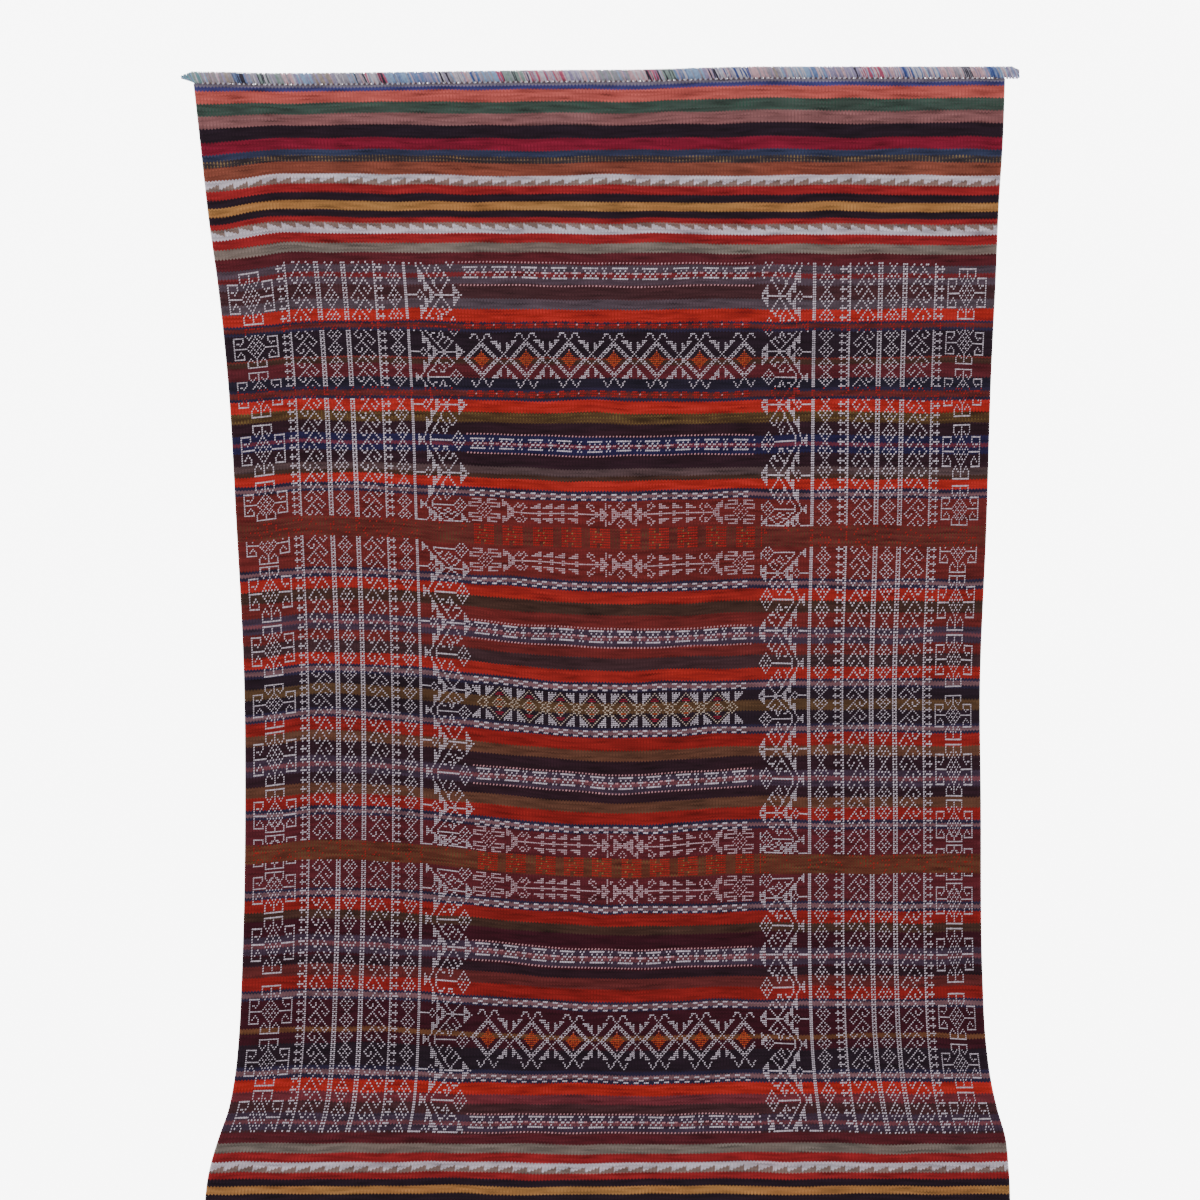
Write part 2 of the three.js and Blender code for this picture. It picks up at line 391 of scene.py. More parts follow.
FURROW_WOOLS = {
    "speckled": "6A5438", "olive": "5C4826", "green": "2A4238", "brick_olive": "46301F",
    "brick_gold": "4A3A22",
}
FLOAT_WOOLS = {
    "white": "C6BAC6", "pink": "B8838A", "orange": "B24826", "red": "96211E",
    "gold": "8E6038", "crimson": "8C1C32", "cream": "BCAA9C", "blush": "BC9FA8",
}
FLOAT_NAMES = ["none", *FLOAT_WOOLS]
missing = {yarn for yarn, _, _ in STRIPES} - set(STRIPE_WOOLS)
print(len(STRIPE_WOOLS), "stripe wools,", len(FLOAT_WOOLS), "float wools")
print("wools of the plan without a colour:", sorted(missing))

# %% [markdown]
# The floats follow a chart, as on squared paper: one square is one float. The bands of the
# border were counted off one by one, and each has its own width of square. A band's place is
# given in thousandths of the rug's width. Small repeats are drawn as text, long arms
# as lines from square to square, and repeats are loops.

# %% The chart and its bands
BORDER_BANDS = [
    dict(name="medallions", columns=29, left=(11.6, 70.2), right=(938, 988)),
    dict(name="outer_comb", columns=6, left=(75.5, 88.5), right=(921, 934)),
    dict(name="outer_vine", columns=13, left=(92, 120.5), right=(889, 918)),
    dict(name="outer_dots", columns=3, left=(124.3, 130.7), right=(880, 886.5)),
    dict(name="outer_chain", columns=9, left=(134, 153.5), right=(858, 878)),
    dict(name="inner_dots", columns=3, left=(158.7, 165), right=(848.5, 855)),
    dict(name="inner_vine", columns=13, left=(168.5, 197), right=(818, 846)),
    dict(name="inner_comb", columns=6, left=(200, 212), right=(799.5, 814)),
    dict(name="inner_chain", columns=9, left=(216, 235), right=(773, 793)),
    dict(name="line", columns=2, left=(238.3, 242), right=(764.5, 769)),
    dict(name="birds", columns=31, left=(242, 309), right=(699, 764)),
]
FIELD_COLUMNS = 170
FIELD_ACROSS = (310, 691)
THOUSANDTH = 0.001


def place_columns():
    """The place and width of each chart column, and the first column of each band."""
    first = {}
    total = 0
    for band in BORDER_BANDS:
        first[band["name"]] = total
        total += band["columns"]
    spans = [(band["columns"], *band["left"]) for band in BORDER_BANDS]
    spans.append((FIELD_COLUMNS, *FIELD_ACROSS))
    spans += [(band["columns"], *band["right"]) for band in reversed(BORDER_BANDS)]
    places, widths = [], []
    for count, start, end in spans:
        step = (end - start) / count * THOUSANDTH
        places.append(start * THOUSANDTH + (np.arange(count) + 0.5) * step)
        widths.append(np.full(count, step))
    return np.concatenate(places), np.concatenate(widths), first, total


COLUMN_ACROSS, COLUMN_WIDTH, BAND, BORDER_COLUMNS = place_columns()
COLUMNS = len(COLUMN_ACROSS)
chart = np.zeros((CHART_ROWS, COLUMNS), np.uint8)
print("chart of", chart.shape, "squares, border", BORDER_COLUMNS, "wide")

# %% Pens for the chart
FOUR_WAYS = ((-1, -1), (-1, 1), (1, -1), (1, 1))


def square(value):
    """The number of the square that a place falls in."""
    return math.floor(value + 0.5)


def mark(column, row, wool="white"):
    """Fills one square, if it is on the chart."""
    column, row = square(column), square(row)
    if 0 <= row < CHART_ROWS and 0 <= column < COLUMNS:
        chart[row, column] = FLOAT_NAMES.index(wool)


def stamp(drawing, column, row, wool="white", mirror=False, turn=False):
    """Draws rows of text, where X is a float, from their upper left square."""
    lines = drawing.split()
    if turn:
        lines = lines[::-1]
    for down, line in enumerate(lines):
        if mirror:
            line = line[::-1]
        for across, sign in enumerate(line):
            if sign == "X":
                mark(column + across, row + down, wool)


def arm(origin, points, flips=(1, 1), wool="white", thick=1):
    """Draws straight arms through places given from an origin, mirrored by flips."""
    for (c0, r0), (c1, r1) in zip(points, points[1:]):
        steps = max(1, math.ceil(max(abs(c1 - c0), abs(r1 - r0))))
        for part in np.linspace(0, 1, steps + 1):
            for extra in range(thick):
                column = origin[0] + flips[0] * (c0 + (c1 - c0) * part + extra)
                mark(column, origin[1] + flips[1] * (r0 + (r1 - r0) * part), wool)


def leaf(origin, edge, tip, middle, half, flips=(1, 1)):
    """Fills a triangle from the column of its upright edge to that of its tip.

    Its middle row is middle, and its edge reaches half above and below it.
    """
    steps = max(1, square(abs(tip - edge)))
    for part in np.linspace(0, 1, steps + 1):
        column = origin[0] + flips[0] * (edge + (tip - edge) * part)
        centre = origin[1] + flips[1] * middle
        reach = half * (1 - part)
        for row in range(square(centre - reach), square(centre + reach) + 1):
            mark(column, row)


def lattice(origin, radius, cells, wool="white"):
    """A diamond outline, cut into cells by cells smaller diamonds."""
    for cell in range(cells + 1):
        place = 2 * cell / cells - 1
        for ends in (((place, -1), (place, 1)), ((-1, place), (1, place))):
            arm(origin, [(radius * (u + v) / 2, radius * (u - v) / 2) for u, v in ends], wool=wool)


def diamond(origin, radius, wool):
    """A filled diamond."""
    reach = square(radius)
    for across in range(-reach, reach + 1):
        for down in range(-reach, reach + 1):
            if abs(across) + abs(down) <= radius:
                mark(origin[0] + across, origin[1] + down, wool)


print("pens ready")

# %% [markdown]
# The borders. Eleven bands run down each side: medallions at the edge, then combs, hooked
# vines, chains of diamonds and dotted lines, a plain line, and towards the field a broad band
# of birds and arrows. The left border is drawn, and the right one is its mirror image.

# %% Narrow bands of the border
MEDALLION_ROWS = (
    -11, 12, 35, 60, 86, 111, 131, 155, 178, 205, 228, 252, 270, 288, 310, 337, 362, 384, 407,
)
MEDALLION_MIDDLE = 14
MEDALLION_REACH = 11
MEDALLION_BAR = [(6, 0), (14, 0)]
MEDALLION_HOOK = [(14, 0), (14, 6), (8, 6), (8, 4), (10, 2), (12, 3.5)]
COMB = """
X.XXXX
XX..X.
X.....
XX..X.
"""
DOTTED_LINE = """
XXX
X.X
"""
VINE_RIGHT = [(4.5, -7.5), (12, 0), (9.7, 2.3), (7.7, -0.5)]
VINE_LEFT = [(7.7, -8), (0, 0), (2.3, 2.3), (4.3, 0)]
BANDS_START = -2
COMB_ROWS = 4
VINE_ROWS = 8
DOT_ROWS = 2
LINE_COLUMNS = 2


def medallion(column, row, above, below):
    """A lattice diamond with a hooked bar on each of its four sides."""
    origin = (column, row)
    lattice(origin, radius=6, cells=3)
    for across, down in FOUR_WAYS:
        reach = above if down < 0 else below
        flips = (across, down)
        arm(origin, MEDALLION_BAR, flips)
        arm(origin, MEDALLION_HOOK, flips)
        arm(origin, [(0, 6), (0, reach), (6, reach)], flips)
        arm(origin, [(6, reach), (6, reach - 3), (4, reach - 5), (2, reach - 3)], flips)


def draw_medallions():
    """A medallion on each counted row, shortened where its neighbours stand close."""
    for before, row, after in zip(MEDALLION_ROWS, MEDALLION_ROWS[1:], MEDALLION_ROWS[2:]):
        above = min(MEDALLION_REACH, (row - before) / 2 - 1)
        below = min(MEDALLION_REACH, (after - row) / 2 - 1)
        medallion(BAND["medallions"] + MEDALLION_MIDDLE, row, above, below)


def draw_narrow_bands():
    """Combs, hooked vines, chains of diamonds, dotted lines and a plain line."""
    for row in range(BANDS_START, CHART_ROWS, COMB_ROWS):
        stamp(COMB, BAND["outer_comb"], row, mirror=True)
        stamp(COMB, BAND["inner_comb"], row)
    for row in range(BANDS_START, CHART_ROWS + VINE_ROWS, VINE_ROWS):
        for name in ("outer_vine", "inner_vine"):
            arm((BAND[name], row), VINE_LEFT)
            arm((BAND[name], row + VINE_ROWS // 2), VINE_RIGHT)
        for name in ("outer_chain", "inner_chain"):
            lattice((BAND[name] + 4, row), radius=4, cells=2)
    for row in range(0, CHART_ROWS, DOT_ROWS):
        stamp(DOTTED_LINE, BAND["outer_dots"], row)
        stamp(DOTTED_LINE, BAND["inner_dots"], row)
    arm((BAND["line"], 0), [(0, 0), (0, CHART_ROWS)], thick=LINE_COLUMNS)


draw_medallions()
draw_narrow_bands()
print("floats in the narrow bands:", int((chart > 0).sum()))

# %% The band of birds
BIRD_TURNS = (
    "V-2 X13 V26 X39 V53 X66 V82 X96 V111 X120",
    "V132 X143 V154 X166 V179 X194 V207 X220 V232 X247 V259 X266",
    "V277 X287 V299 X310 V323 X337 V350 X365 V377 X389",
)
CROSSING_BAR = [(0.5, 0), (5, 0)]
ARROW_SHAFT = [(16, 0), (27, 0)]
ARROW_HOLES = (15.5, 28.5, 29.5)
VERTEX_BAR = [(9, 0), (22.5, 0)]
# BIRD_HOOKS are drawn for an arm of BIRD_HEIGHT rows. BIRD_BARBS give each barb's share of
# the arm's height and the column of its edge.
BIRD_HEIGHT = 13.5
BIRD_HOOKS = (
    [(20, 1), (25, 5.8), (22.8, 8), (20.5, 5.4)],
    [(16, 4.5), (20.3, 8.7), (18.5, 11), (16.5, 8.5)],
    [(12, 8.6), (14.3, 10.6)],
)
BIRD_BARBS = ((0.25, 10.3), (0.52, 7.8))
BARB_LENGTH = 2.5


def bird_crossing(row):
    """A bar with a small diamond, and an arrow through the crossing of two arms."""
    origin = (BAND["birds"] - 0.5, row)
    arm(origin, CROSSING_BAR)
    lattice((origin[0] + 7.5, row), radius=2, cells=1)
    leaf(origin, edge=13.5, tip=16, middle=0, half=3.3)
    arm(origin, ARROW_SHAFT)
    leaf(origin, edge=27.5, tip=31, middle=0, half=4)
    for hole in ARROW_HOLES:
        mark(origin[0] + hole, row, "none")


def bird_vertex(row):
    """The point where two arms meet, with a bar and a diamond inside."""
    origin = (BAND["birds"] - 0.5, row)
    leaf(origin, edge=2.5, tip=4.5, middle=0, half=1.6)
    arm(origin, VERTEX_BAR)
    lattice((origin[0] + 26.5, row), radius=4, cells=2)


def bird_arm(crossing, vertex):
    """A barbed arm and a hooked arm, side by side, from a crossing to a vertex."""
    origin = (BAND["birds"] - 0.5, crossing)
    height = abs(vertex - crossing)
    flips = (1, 1 if vertex > crossing else -1)
    arm(origin, [(14.5, 0), (5, height)], flips)
    arm(origin, [(19, 1), (9, height - 1)], flips)
    for share, edge in BIRD_BARBS:
        tip = edge + BARB_LENGTH
        leaf(origin, edge=edge, tip=tip, middle=share * height, half=2.2, flips=flips)
    for hook in BIRD_HOOKS:
        arm(origin, [(column, row * height / BIRD_HEIGHT) for column, row in hook], flips)


def draw_birds():
    """Arms from each turn to the next, then the crossings (X) and vertices (V) over them."""
    for run in BIRD_TURNS:
        turns = [(entry[0], int(entry[1:])) for entry in run.split()]
        for (kind, row), (_, next_row) in zip(turns, turns[1:]):
            bird_arm(*((row, next_row) if kind == "X" else (next_row, row)))
        for kind, row in turns:
            if kind == "X":
                bird_crossing(row)
            else:
                bird_vertex(row)


draw_birds()
chart[:, COLUMNS - BORDER_COLUMNS:] = chart[:, BORDER_COLUMNS - 1::-1]
print("floats in both borders:", int((chart > 0).sum()))

# %% [markdown]
# The middle field. Each section of the plan names its motif, and each motif is a function of
# the section's first row and its number of rows, drawn from the field's left to its right.
# Where the border crosses the bricks and the red bow-ties, its floats are sparse and red.

# %% Strips of the field
FIELD_START = BORDER_COLUMNS
FIELD_END = FIELD_START + FIELD_COLUMNS
BOX = """
XXXXXXXXX
.X..X..X.
..XX.XX..
.X..X..X.
XXXXXXXXX
"""
FLOWER = """
X.X
.X.
XXX
.X.
X.X
"""
BONE = """
XXX...XXX
...XXX...
XXX...XXX
"""
RED_BONE = """
.XXX..XXX.
XXXXXXXXXX
.XXX..XXX.
"""
DOT_COLUMNS = 2
BOX_JOIN = "XX.XXX.XX"
BOX_COLUMNS = 9
BOX_ROWS = 5
BOX_PERIOD = 17.3
JOIN_COLUMN = 8
FLOWER_COLUMN = 11.5
BONE_ROWS = 3
BONE_PERIOD = 12
BONE_COLUMNS = 9
RED_BONE_COLUMNS = 10
KNOT_COLUMN = 4.5
BRICK_PERIOD = 17.3
BRICK_COLUMNS = 12
BRICK_JOINT = (4, 5)
BRICK_DOTS = ((3, 1), (3, 3), (2, 5), (6, 2), (7, 4), (6, 6))


def repeats(inset, columns, period):
    """The first column of each repeat of so many columns that fits across the field."""
    return np.arange(FIELD_START + inset, FIELD_END - columns + 1, period)


def boxes(row, rows):
    """Boxed crosses and flowers between two dotted lines."""
    for column in range(FIELD_START, FIELD_END, DOT_COLUMNS):
        mark(column, row, "pink")
        mark(column, row + rows - 1, "pink")
    top = row + (rows - BOX_ROWS) // 2
    for column in repeats(1.5, BOX_COLUMNS, BOX_PERIOD):
        stamp(BOX_JOIN, column + JOIN_COLUMN, top + BOX_ROWS // 2, "pink")
        stamp(BOX, column, top)
        stamp(FLOWER, column + FLOWER_COLUMN, top)


def bones(row, rows):
    """Bow-tie dashes."""
    for column in repeats(1, BONE_COLUMNS, BONE_PERIOD):
        stamp(BONE, column, row + rows - BONE_ROWS)


def red_bones(row, rows):
    """Fuller bow-ties in red, with a pink knot."""
    top = row + (rows - BONE_ROWS) // 2
    for column in repeats(1, RED_BONE_COLUMNS, BONE_PERIOD):
        stamp(RED_BONE, column, top, "red")
        mark(column + KNOT_COLUMN, top + 1, "pink")


def bricks(row, rows):
    """Pairs of red blocks, joined in the middle, with gold dots on them."""
    for pair in repeats(3, BRICK_COLUMNS, BRICK_PERIOD):
        for across in range(BRICK_COLUMNS):
            inset = 2 if across in BRICK_JOINT else 0
            arm((pair + across, row), [(0, inset), (0, rows - 1 - inset)], wool="red")
        for across, down in BRICK_DOTS:
            mark(pair + across, row + down, "gold")


print("strips ready")

# %% Diamonds of the field
BIG_DIAMOND_RADIUS = 10
BIG_DIAMOND_HOOK = [(0, 10), (4, 14.5), (6, 12)]
HEART_RADIUS = 4
BRANCH = [(0, 3.3), (2, 5.3), (4.5, 8.2), (4.5, 10), (7, 10)]
BIG_DIAMOND_COUNT = 7
BIG_DIAMOND_FIRST = 10.3
BIG_DIAMOND_PITCH = 25.4
SMALL_DIAMOND_COUNT = 8
SMALL_DIAMOND_FIRST = 15.5
SMALL_DIAMOND_PITCH = 18.9
HAND = """
X....
XX...
XXX..
XXXX.
XXXXX
X.X.X
"""
HAND_COLUMN = {1: 2, -1: -6}
HAND_ROW = {1: 4, -1: -9}


def big_diamond(origin):
    """A dotted double outline with hooked tips, round an orange heart."""
    lattice(origin, radius=BIG_DIAMOND_RADIUS, cells=1)
    lattice(origin, radius=BIG_DIAMOND_RADIUS - 2, cells=1)
    diamond(origin, HEART_RADIUS, "orange")
    for across, down in ((-2, 0), (2, 0), (0, -2), (0, 2)):
        mark(origin[0] + across, origin[1] + down, "red")
    for flips in FOUR_WAYS:
        for down in range(0, BIG_DIAMOND_RADIUS, 2):
            across = BIG_DIAMOND_RADIUS - 1 - down
            mark(origin[0] + flips[0] * across, origin[1] + flips[1] * down)
        arm(origin, BIG_DIAMOND_HOOK, flips)
        mark(origin[0], origin[1] + flips[1] * (HEART_RADIUS + 1), "pink")


def diamond_branches(origin):
    """A small diamond with two leafy branches above it and two below."""
    lattice(origin, radius=3, cells=1)
    for flips in FOUR_WAYS:
        arm(origin, BRANCH, flips)
        arm(origin, [(4.5, 9), (5.7, 9)], flips)
        leaf(origin, edge=2, tip=3.7, middle=7.3, half=1.9, flips=flips)


def big_diamonds(row, rows):
    """A row of big diamonds, with branches between them."""
    middle = row + rows // 2
    first = FIELD_START + BIG_DIAMOND_FIRST
    for number in range(BIG_DIAMOND_COUNT):
        centre = first + number * BIG_DIAMOND_PITCH
        big_diamond((square(centre), middle))
        if number < BIG_DIAMOND_COUNT - 1:
            diamond_branches((square(centre + BIG_DIAMOND_PITCH / 2), middle))


def small_diamond(origin):
    """A cream outline with crimson tips round a lattice with orange and pink cells."""
    for flips in FOUR_WAYS:
        arm(origin, [(0, 8.6), (9.4, 0)], flips, "cream")
        arm(origin, [(0, 5), (2, 5)], flips, "crimson")
        arm(origin, [(0, 6), (1, 6)], flips, "crimson")
    lattice(origin, radius=4, cells=2, wool="cream")
    for away in (-2, 2):
        arm((origin[0], origin[1] + away), [(-1, 0), (1, 0)], wool="orange")
        mark(origin[0] + away, origin[1], "pink")


def hand_cross(origin):
    """A small diamond where two outlines cross, with pairs of hands above and below."""
    lattice(origin, radius=3, cells=1, wool="cream")
    for across, down in FOUR_WAYS:
        first = origin[0] + HAND_COLUMN[across]
        top = origin[1] + HAND_ROW[down]
        stamp(HAND, first, top, mirror=across < 0, turn=down < 0)


def small_diamonds(row, rows):
    """A row of small diamonds, with pairs of hands between them and at both ends."""
    middle = row + rows // 2
    for number in range(-1, SMALL_DIAMOND_COUNT):
        centre = FIELD_START + SMALL_DIAMOND_FIRST + number * SMALL_DIAMOND_PITCH
        hand_cross((square(centre + SMALL_DIAMOND_PITCH / 2), middle))
        if number >= 0:
            small_diamond((square(centre), middle))


print("diamonds ready")

# %% Trees of the field
TWO = """
..XXXXXX
......XX
XXXXXXXX
XX......
XXXXXX..
"""
ESS = """
XXXXXX..
XX......
XXXXXXXX
......XX
..XXXXXX
"""
LEAF = """
....XX
..XXXX
XXXXXX
"""
STEM_LEAF = """
....XX
XXXXXX
....XX
"""
HOOK_COLUMNS = 8
SECOND_HOOK = 11
ROSETTE_MIDDLE = 9.5
FIN = [(22, 5), (27, 0)]
FIN_HOOK = [(26.5, 2), (29.5, 5), (31, 4), (29.5, 2.6)]
STEM_HOOK = [(31.5, 1), (34, 3.4), (32.7, 4.6)]
HEAD_HOOK = [(-1, 0), (-8, 4.3), (-6.5, 5.6), (-4, 4.3)]
STEM_START = 26
LEAF_COLUMNS = 5
TREE_MIDDLE = 90.7
LEFT_LEAVES = (37, 44, 51.5, 59.5)
RIGHT_LEAVES = (36.5, 44.5, 53)
LEFT_HEAD = 78
RIGHT_HEAD = 69


def tree_rosette(origin, side):
    """Four broad hooks round a lattice diamond."""
    for across, upper, lower in ((0, TWO, ESS), (SECOND_HOOK, ESS, TWO)):
        first = origin[0] + (across if side > 0 else -across - HOOK_COLUMNS)
        stamp(upper, first, origin[1] - 6, mirror=side < 0)
        stamp(lower, first, origin[1] + 2, mirror=side < 0)
    lattice((origin[0] + side * ROSETTE_MIDDLE, origin[1]), radius=4, cells=2)


def tree_half(axis, start, side, leaves, head):
    """A rosette, a fin with hooks, a stem with pairs of leaves, and an arrow's head."""
    origin = (start, axis)
    tree_rosette(origin, side)
    arm(origin, [(STEM_START, 0), (head, 0)], (side, 1))
    for up in (-1, 1):
        flips = (side, up)
        leaf(origin, edge=20.5, tip=23.5, middle=4.3, half=1.6, flips=flips)
        arm(origin, FIN, flips)
        arm(origin, FIN_HOOK, flips)
        arm(origin, STEM_HOOK, flips)
        arm(origin, [(head + column, row) for column, row in HEAD_HOOK], flips)
    for across in leaves:
        first = start + (across if side > 0 else -across - LEAF_COLUMNS)
        stamp(LEAF, first, axis - 5, mirror=side < 0)
        stamp(STEM_LEAF, first, axis - 1, mirror=side < 0)
        stamp(LEAF, first, axis + 3, mirror=side < 0, turn=True)
    for edge in (23, head):
        leaf(origin, edge=edge, tip=edge + 4, middle=0, half=3.4, flips=(side, 1))
        mark(start + side * (edge + 1), axis, "none")


def butterfly(origin):
    """Four wings that meet in the middle, and a barb at each corner."""
    for side in (-1, 1):
        leaf(origin, edge=5.5, tip=0, middle=0, half=3.5, flips=(side, 1))
        mark(origin[0] + side * 4, origin[1], "none")
        lattice((origin[0], origin[1] + side * 4.7), radius=2, cells=1)
        for up in (-1, 1):
            leaf(origin, edge=8.8, tip=6.4, middle=4.6, half=1.2, flips=(side, up))


def trees(row, rows):
    """Two trees that meet at a butterfly in the middle."""
    axis = row + rows // 2
    tree_half(axis, FIELD_START - 0.5, 1, LEFT_LEAVES, LEFT_HEAD)
    tree_half(axis, FIELD_END + 0.5, -1, RIGHT_LEAVES, RIGHT_HEAD)
    butterfly((FIELD_START - 0.5 + TREE_MIDDLE, axis))
    field = chart[row:row + rows, FIELD_START:FIELD_END]
    field[field == FLOAT_NAMES.index("white")] = FLOAT_NAMES.index("blush")


print("trees ready")

# %% Draw the field
FADED_BORDERS = {"bricks": 0.35, "red_bones": 0.6}
MOTIFS = {
    "boxes": boxes, "bones": bones, "red_bones": red_bones, "big_diamonds": big_diamonds,
    "small_diamonds": small_diamonds, "trees": trees, "bricks": bricks,
}


def fade_border(row, rows, share):
    """Keeps a share of a section's border floats, and makes them red."""
    part = chart[row:row + rows]
    part[np.random.default_rng(row).random(part.shape) > share] = 0
    part[part > 0] = FLOAT_NAMES.index("red")


for motif, row, rows, _, _ in BLOCKS:
    if motif in FADED_BORDERS:
        fade_border(row, rows, FADED_BORDERS[motif])
    if motif in MOTIFS:
        MOTIFS[motif](row, rows)
print("floats on the whole chart:", int((chart > 0).sum()))

# %% [markdown]
# The cloth itself is one closed sheet: a fine grid on top, the same grid below, and a wall
# round the rim. Its grid follows the same function as every float, so the two can't part.
# Its map for the shader is the weaver's own: how far across, and how far down. Over each
# selvedge the grid's lines stand closer, at places given in widths of the cord.

# %% The cloth's mesh
CLOTH_LINES_ACROSS = 150
CLOTH_LINES_DOWN = 230
WAIST_WIDTH = 1.6
THIN_EDGE = 0.35
CORD_LINES = (0, 0.06, 0.2, 0.5, 0.8, 0.94, 1.1)
LINES_START = 1.6


def cloth_thickness(across):
    """The sheet's thickness, rounded up to a firm cord at each selvedge."""
    from_edge = np.minimum(across, 1 - across) * WAIST_WIDTH
    round_part = np.clip(1 - (from_edge / SELVEDGE_WIDTH * 2 - 1) ** 2, 0, 1)
    inner = np.where(from_edge < SELVEDGE_WIDTH, np.sqrt(round_part), 0)
    flat = np.where(from_edge < SELVEDGE_WIDTH / 2, THIN_EDGE, 1.0) * CLOTH_THICKNESS
    return np.maximum(flat, SELVEDGE_THICKNESS * inner)


def grid_lines():
    """Places of the grid's columns, closer together over the selvedges."""
    cord = SELVEDGE_WIDTH / WAIST_WIDTH
    near = np.array(CORD_LINES) * cord
    middle = np.linspace(LINES_START * cord, 1 - LINES_START * cord, CLOTH_LINES_ACROSS)
    return np.concatenate([near, middle, 1 - near[::-1]])


def closed_faces(rows, columns):
    """Faces of two grids of points, the upper one first, and of the wall round them."""
    number = np.arange(rows * columns).reshape(rows, columns)
    a, b = number[:-1, :-1].ravel(), number[1:, :-1].ravel()
    c, d = number[1:, 1:].ravel(), number[:-1, 1:].ravel()
    under = rows * columns
    faces = [np.stack([a, b, c, d], 1), np.stack([d, c, b, a], 1) + under]
    rim = np.concatenate([number[0, :], number[1:, -1], number[-1, -2::-1], number[-2:0:-1, 0]])
    after = np.roll(rim, -1)
    faces.append(np.stack([rim, after, after + under, rim + under], 1))
    return np.concatenate(faces)


def add_map(mesh, plan):
    """A map for the shader, from each point's place across and down."""
    layer = mesh.uv_layers.new(name="plan")
    corner = np.zeros(len(mesh.loops), int)
    mesh.loops.foreach_get("vertex_index", corner)
    layer.data.foreach_set("uv", plan[corner].astype(np.float32).ravel())


def make_cloth():
    """The cloth's closed sheet, with its map."""
    across, down = np.meshgrid(grid_lines(), np.linspace(0, CLOTH_LENGTH, CLOTH_LINES_DOWN))
    x, y, z = on_cloth(across, down)
    top = np.stack([x, y, z + cloth_thickness(across)], axis=-1).reshape(-1, 3)
    bottom = np.stack([x, y, z], axis=-1).reshape(-1, 3)
    mesh = bpy.data.meshes.new("rug_weave")
    points = np.concatenate([top, bottom])
    mesh.from_pydata(points.tolist(), [], closed_faces(*across.shape).tolist())
    plan = np.stack([across.ravel(), down.ravel() / CLOTH_LENGTH], 1)
    add_map(mesh, np.concatenate([plan, plan]))
    mesh.shade_smooth()
    mesh.validate()
    cloth = bpy.data.objects.new("rug_weave", mesh)
    bpy.context.scene.collection.objects.link(cloth)
    return cloth


cloth = make_cloth()
print("cloth faces:", len(cloth.data.polygons))

# %% [markdown]
# The cloth's colours. The stripes are read off the map's second axis by a chain of colour
# ramps, one for each run of stripes, because one ramp holds no more than 32 colours. Before
# that, the place strays a little, as wool does: small teeth where two colours meet between
# the warps, and in the white bands the long saw teeth of a slit weave.

# %% Nodes for the cloth's wool
RAMP_STRIPES = 26
RIB_PITCH = 7 * MM
JOINT_TEETH = 1.7 * MM
SAW_PITCH = 30 * MM
SAW_HEIGHT = 12 * MM
SAW_MIDDLE = 0.7
RUG_WIDTH = 1.66


class Nodes:
    """A short way to add nodes to a material and join them."""

    # A Mix node has sockets for each kind of value. These are the ones for colours.
    MIX_INPUTS = (6, 7)
    MIX_OUTPUT = 2

    def __init__(self, material):
        material.use_nodes = True
        self.tree = material.node_tree
        self.shader = self.tree.nodes["Principled BSDF"]

    def link(self, value, socket):
        if isinstance(value, bpy.types.NodeSocket):
            self.tree.links.new(value, socket)
        else:
            socket.default_value = value

    def math(self, operation, first, second=0.0, third=0.0):
        node = self.tree.nodes.new("ShaderNodeMath")
        node.operation = operation
        for socket, value in zip(node.inputs, (first, second, third)):
            self.link(value, socket)
        return node.outputs[0]

    def mix(self, factor, first, second, blend="MIX"):
        node = self.tree.nodes.new("ShaderNodeMix")
        node.data_type = "RGBA"
        node.blend_type = blend
        self.link(factor, node.inputs["Factor"])
        self.link(first, node.inputs[self.MIX_INPUTS[0]])
        self.link(second, node.inputs[self.MIX_INPUTS[1]])
        return node.outputs[self.MIX_OUTPUT]

    def darken(self, colour, red, green, blue):
        """A colour whose red, green and blue are each multiplied by a number."""
        return self.mix(1.0, colour, self.vector(red, green, blue), "MULTIPLY")

    def noise(self, vector, scale, detail=2.0):
        node = self.tree.nodes.new("ShaderNodeTexNoise")
        node.inputs["Scale"].default_value = scale
        node.inputs["Detail"].default_value = detail
        self.link(vector, node.inputs["Vector"])
        return node.outputs["Fac"]

    def vector(self, x, y, z=0.0):
        node = self.tree.nodes.new("ShaderNodeCombineXYZ")
        for socket, value in zip(node.inputs, (x, y, z)):
            self.link(value, socket)
        return node.outputs[0]

    def split(self, vector):
        node = self.tree.nodes.new("ShaderNodeSeparateXYZ")
        self.link(vector, node.inputs[0])
        return node.outputs[0], node.outputs[1]

    def finish(self, colour, roughness, specular):
        """The colour, and how dull the wool is."""
        self.link(colour, self.shader.inputs["Base Color"])
        self.shader.inputs["Roughness"].default_value = roughness
        self.shader.inputs["Specular IOR Level"].default_value = specular

    def bump(self, height, distance, strength):
        node = self.tree.nodes.new("ShaderNodeBump")
        node.inputs["Distance"].default_value = distance
        node.inputs["Strength"].default_value = strength
        self.link(height, node.inputs["Height"])
        self.link(node.outputs[0], self.shader.inputs["Normal"])

    def ramp(self, factor, stops):
        node = self.tree.nodes.new("ShaderNodeValToRGB")
        node.color_ramp.interpolation = "CONSTANT"
        elements = node.color_ramp.elements
        elements.remove(elements[1])
        elements[0].position, elements[0].color = stops[0]
        for position, colour in stops[1:]:
            elements.new(position).color = colour
        self.link(factor, node.inputs[0])
        return node.outputs[0]

    def own_map(self):
        return self.tree.nodes.new("ShaderNodeUVMap").outputs[0]

    def own_place(self):
        return self.tree.nodes.new("ShaderNodeTexCoord").outputs["Object"]

    def own_value(self, name):
        node = self.tree.nodes.new("ShaderNodeAttribute")
        node.attribute_name = name
        return node.outputs["Fac"]


